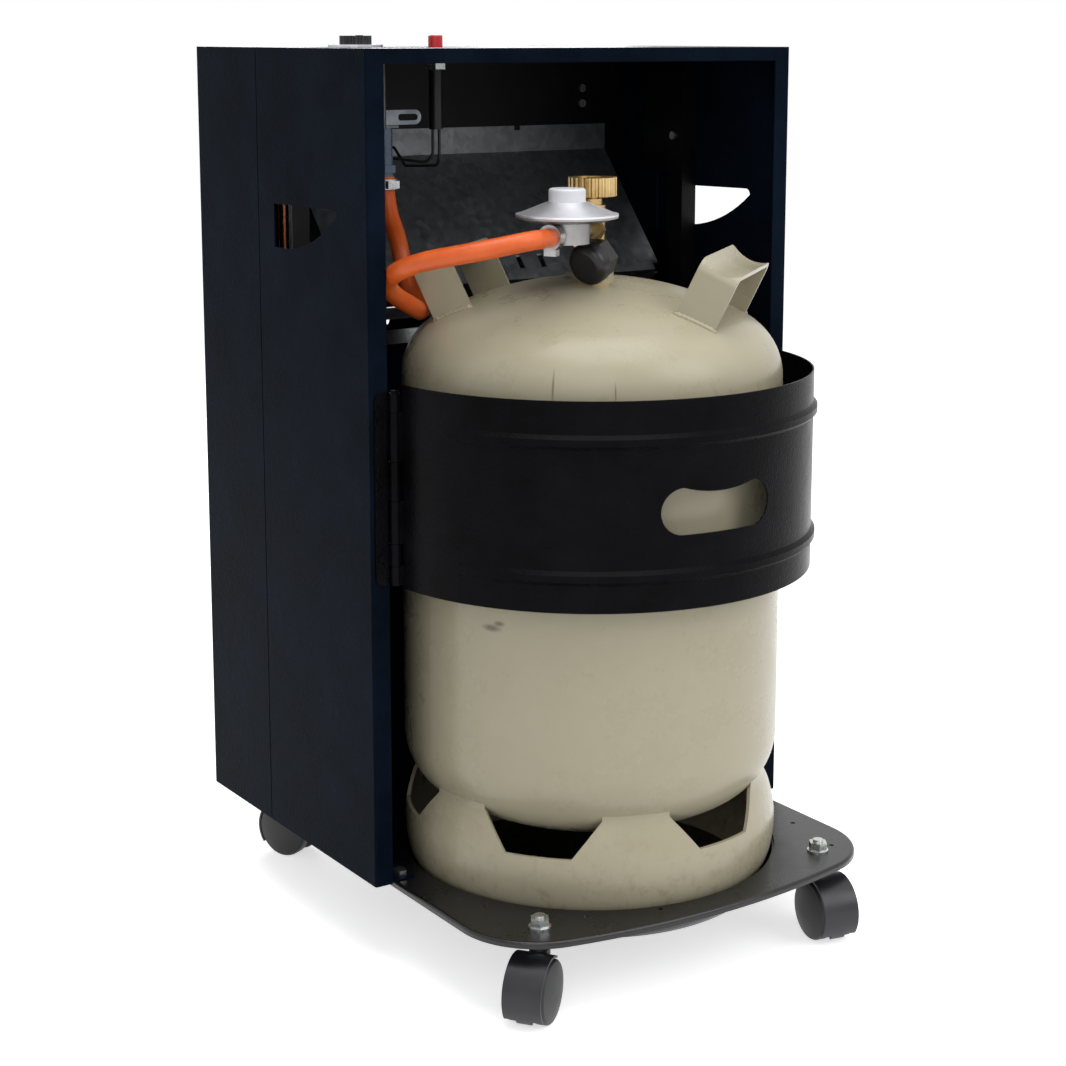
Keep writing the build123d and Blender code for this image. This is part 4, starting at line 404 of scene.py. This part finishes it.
finishOf = {
    "front_casing": cabinetCoat, "rear_casing": cabinetCoat, "inner_back_panel": innerCoat,
    "seam_rails": innerCoat, "retaining_band": bandCoat, "hinge_leaf": bandCoat,
    "heat_shield": galvanised, "burner_housing": burnerSteel, "burner_manifold": burnerSteel,
    "reflector": mirrorSheet, "front_grille": wireChrome, "knob_skirt": wireChrome,
    "ceramic_plaques": plaqueCeramic, "ignition_electrode": plaqueCeramic,
    "burner_pipe": drawnCopper, "pilot_burner": drawnCopper, "thermocouple": drawnCopper,
    "igniter_leads": leadRubber, "body_screws": zincPlate, "valve_bracket": bracketSteel,
    "valve_spindle": zincPlate, "piezo_nut": zincPlate, "hose_clamps": zincPlate,
    "band_hook": zincPlate, "hinge_pin": bandCoat, "hinge_rivets": bandCoat,
    "casing_bolts": zincPlate, "castor_stems": zincPlate, "castor_nuts": zincPlate,
    "gas_valve": valveAlloy, "control_knob": knobPlastic, "piezo_button": redPlastic,
    "piezo_body": igniterPlastic, "inlet_pipe": pipeLacquer, "regulator_body": castAlloy,
    "regulator_cover": coverAlloy, "regulator_cap": greyPlastic, "union_nut": machinedBrass,
    "cylinder_valve": machinedBrass, "valve_handwheel": machinedBrass, "outlet_cap": capPlastic,
    "cap_strap": capPlastic, "bottle_shell": bottleEnamel, "bottle_foot_ring": ringEnamel,
    "bow_handles": bottleEnamel, "base_plate": plateCoat, "base_pan": plateCoat,
    "gas_hose": hoseRubber,
}
for name, thing in nodes.items():
    finish = finishOf.get(name)
    if name.startswith("castor_hood"):
        finish = castorNylon
    elif name.startswith("castor_wheels"):
        finish = tyreRubber
    elif name.startswith("castor_axle"):
        finish = zincPlate
    thing.data.materials.clear()
    thing.data.materials.append(finish)
print("finishes on", len(nodes), "nodes")

# gas hose: the route's points are those of the source, in metres
hose = {"diameter": 0.0145, "length": 0.4009, "smooth": 12, "ring": 8}
hoseRoute = [
    (0.0665, 0.10775, 0.5650),
    (0.08501, 0.11787, 0.5650),
    (0.1052, 0.13295, 0.5662),
    (0.1452, 0.11855, 0.5586),
    (0.1737, 0.08295, 0.5499),
    (0.1774, 0.04475, 0.5346),
    (0.1615, 0.02645, 0.5206),
    (0.1320, 0.01465, 0.5057),
    (0.1055, -0.02125, 0.4968),
    (0.1049, -0.04925, 0.5200),
    (0.1026, -0.06215, 0.5507),
    (0.1195, -0.05335, 0.5800),
    (0.1195, -0.05335, 0.6030),
]


def makeHose():
    curve = bpy.data.curves.new("rubberHose", "CURVE")
    curve.dimensions = "3D"
    spline = curve.splines.new("NURBS")
    spline.points.add(len(hoseRoute) - 1)
    for point, place in zip(spline.points, hoseRoute):
        point.co = (*place, 1.0)
    spline.order_u = 3
    spline.use_endpoint_u = True
    spline.resolution_u = hose["smooth"]
    curve.bevel_depth = hose["diameter"] / 2
    curve.bevel_resolution = hose["ring"]
    curve.use_fill_caps = True
    curve.materials.append(hoseRubber)
    piece = bpy.data.objects.new("rubberHose", curve)
    scene.collection.objects.link(piece)
    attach(piece, "heater")
    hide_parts("gas_hose")


makeHose()
print("hose laid")

# weld beads that hold the feet of the two bow handles to the shoulder of the bottle
weldSet = {"radius": 0.0024, "ripple": 0.00035, "pitch": 0.0035, "sides": 10, "step": 0.0011,
           "endRadius": 0.35, "endGrowth": 0.25, "rayFrom": 0.6}
weldLines = [
    # where each bead starts and ends in plan, along the outside of a foot
    ((-0.1160, 0.1112), (-0.0955, 0.0866)),
    ((-0.0262, 0.1846), (-0.0054, 0.1590)),
]
nearHandleTurn = -178.2  # from the far handle to the near one, in degrees


def makeWelds():
    # each bead follows the shell, a little thicker and thinner with every pool of the weld
    shell = BVHTree.FromObject(nodes["bottle_shell"], bpy.context.evaluated_depsgraph_get())
    middle = Vector((0.0, bottleY))
    turn = Matrix.Rotation(math.radians(nearHandleTurn), 2)
    turned = [[middle + turn @ (Vector(end) - middle) for end in line] for line in weldLines]
    mesh = bpy.data.meshes.new("handleWelds")
    shape = bmesh.new()
    for start, end in weldLines + turned:
        first, last = Vector(start), Vector(end)
        count = round((last - first).length / weldSet["step"])
        path = []
        for index in range(count + 1):
            spot = first.lerp(last, index / count)
            hit = shell.ray_cast(Vector((spot.x, spot.y, weldSet["rayFrom"])), Vector((0.0, 0.0, -1.0)))
            path.append(hit[0])
        rings = []
        for index, point in enumerate(path):
            along = (path[min(index + 1, count)] - path[max(index - 1, 0)]).normalized()
            taper = min(1.0, weldSet["endRadius"] + weldSet["endGrowth"] * min(index, count - index))
            wave = math.sin(2 * math.pi * index * weldSet["step"] / weldSet["pitch"])
            radius = weldSet["radius"] * taper + weldSet["ripple"] * wave
            place = Matrix.Translation(point) @ along.to_track_quat("Z", "Y").to_matrix().to_4x4()
            made = bmesh.ops.create_circle(shape, cap_ends=index in (0, count), radius=radius,
                                           segments=weldSet["sides"], matrix=place)
            rings.append(made["verts"])
        for here, there in zip(rings, rings[1:]):
            edges = [edge for edge in shape.edges if edge.verts[0] in here and edge.verts[1] in here]
            edges += [edge for edge in shape.edges if edge.verts[0] in there and edge.verts[1] in there]
            bmesh.ops.bridge_loops(shape, edges=edges)
    bmesh.ops.recalc_face_normals(shape, faces=shape.faces)
    for face in shape.faces:
        face.smooth = True
    shape.to_mesh(mesh)
    shape.free()
    mesh.materials.append(bottleEnamel)
    piece = bpy.data.objects.new("handleWelds", mesh)
    scene.collection.objects.link(piece)
    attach(piece, "heater")


makeWelds()
print("welds run")

# studio
floorSet = {"size": 14.0, "tone": "#eeeeee", "glow": 0.62, "rough": 0.9}
worldSet = {"ambient": 0.5, "seen": 1.0}
lampSet = [
    # name, energy, size, place, aim
    ("keyLamp", 32.0, 1.8, (-1.3, 2.4, 2.1), (0.0, 0.1, 0.35)),
    ("fillLamp", 13.0, 1.6, (1.6, 2.1, 1.6), (0.0, 0.1, 0.35)),
    ("frontLamp", 30.0, 1.6, (-0.9, -2.3, 1.6), (0.0, 0.0, 0.4)),
    ("topLamp", 34.0, 1.8, (0.1, 0.5, 2.5), (0.0, 0.1, 0.3)),
]
cameraSet = {"lens": 71.78, "shift": -0.1154, "sensor": 36.0, "clipEnd": 50.0,
             "place": (0.9559, 1.4148, 0.714), "turn": (79.961, -0.021, 146.371)}


def whiteToEye(material):
    # 1 for camera, glossy and transmission rays, so that metal shows the pale studio too
    path = addNode(material, "ShaderNodeLightPath")
    first = addNode(material, "ShaderNodeMath", {"operation": "MAXIMUM"},
                    {0: path.outputs["Is Camera Ray"], 1: path.outputs["Is Glossy Ray"]})
    both = addNode(material, "ShaderNodeMath", {"operation": "MAXIMUM"},
                   {0: first.outputs[0], 1: path.outputs["Is Transmission Ray"]})
    return both.outputs[0]


def makeFloor():
    # matt white paper that glows to white for the eye and still takes the shadow
    mesh = bpy.data.meshes.new("studioFloor")
    shape = bmesh.new()
    bmesh.ops.create_grid(shape, x_segments=2, y_segments=2, size=floorSet["size"] / 2)
    shape.to_mesh(mesh)
    shape.free()
    thing = bpy.data.objects.new("studioFloor", mesh)
    scene.collection.objects.link(thing)
    material = startMaterial("paleFloor")
    glow = addNode(material, "ShaderNodeMath", {"operation": "MULTIPLY", 1: floorSet["glow"]},
                   {0: whiteToEye(material)})
    shader = addNode(material, "ShaderNodeBsdfPrincipled",
                     {"Base Color": hexColor(floorSet["tone"]), "Roughness": floorSet["rough"],
                      "Specular IOR Level": 0.0, "Emission Color": hexColor("#ffffff")},
                     {"Emission Strength": glow.outputs[0]})
    mesh.materials.append(closeMaterial(material, shader))


def makeWorld():
    world = bpy.data.worlds.new("studioWorld")
    world.use_nodes = True
    world.node_tree.nodes.clear()
    scene.world = world
    level = addNode(world, "ShaderNodeMapRange", {3: worldSet["ambient"], 4: worldSet["seen"]},
                    {0: whiteToEye(world)})
    back = addNode(world, "ShaderNodeBackground", {"Color": hexColor("#ffffff")},
                   {"Strength": level.outputs[0]})
    addNode(world, "ShaderNodeOutputWorld", {}, {"Surface": back.outputs[0]})


def makeLamps():
    for name, energy, size, place, aim in lampSet:
        lamp = bpy.data.lights.new(name, "AREA")
        lamp.energy = energy
        lamp.size = size
        thing = bpy.data.objects.new(name, lamp)
        thing.location = place
        thing.rotation_euler = (Vector(aim) - Vector(place)).to_track_quat("-Z", "Y").to_euler()
        scene.collection.objects.link(thing)


def makeCamera():
    lens = bpy.data.cameras.new("camera")
    lens.sensor_width = cameraSet["sensor"]
    lens.lens = cameraSet["lens"]
    lens.shift_y = cameraSet["shift"]
    lens.clip_end = cameraSet["clipEnd"]
    thing = bpy.data.objects.new("camera", lens)
    thing.location = cameraSet["place"]
    thing.rotation_euler = [math.radians(turn) for turn in cameraSet["turn"]]
    scene.collection.objects.link(thing)
    scene.camera = thing


makeFloor()
makeWorld()
makeLamps()
makeCamera()
scene.view_settings.view_transform = "Standard"
print("studio ready")
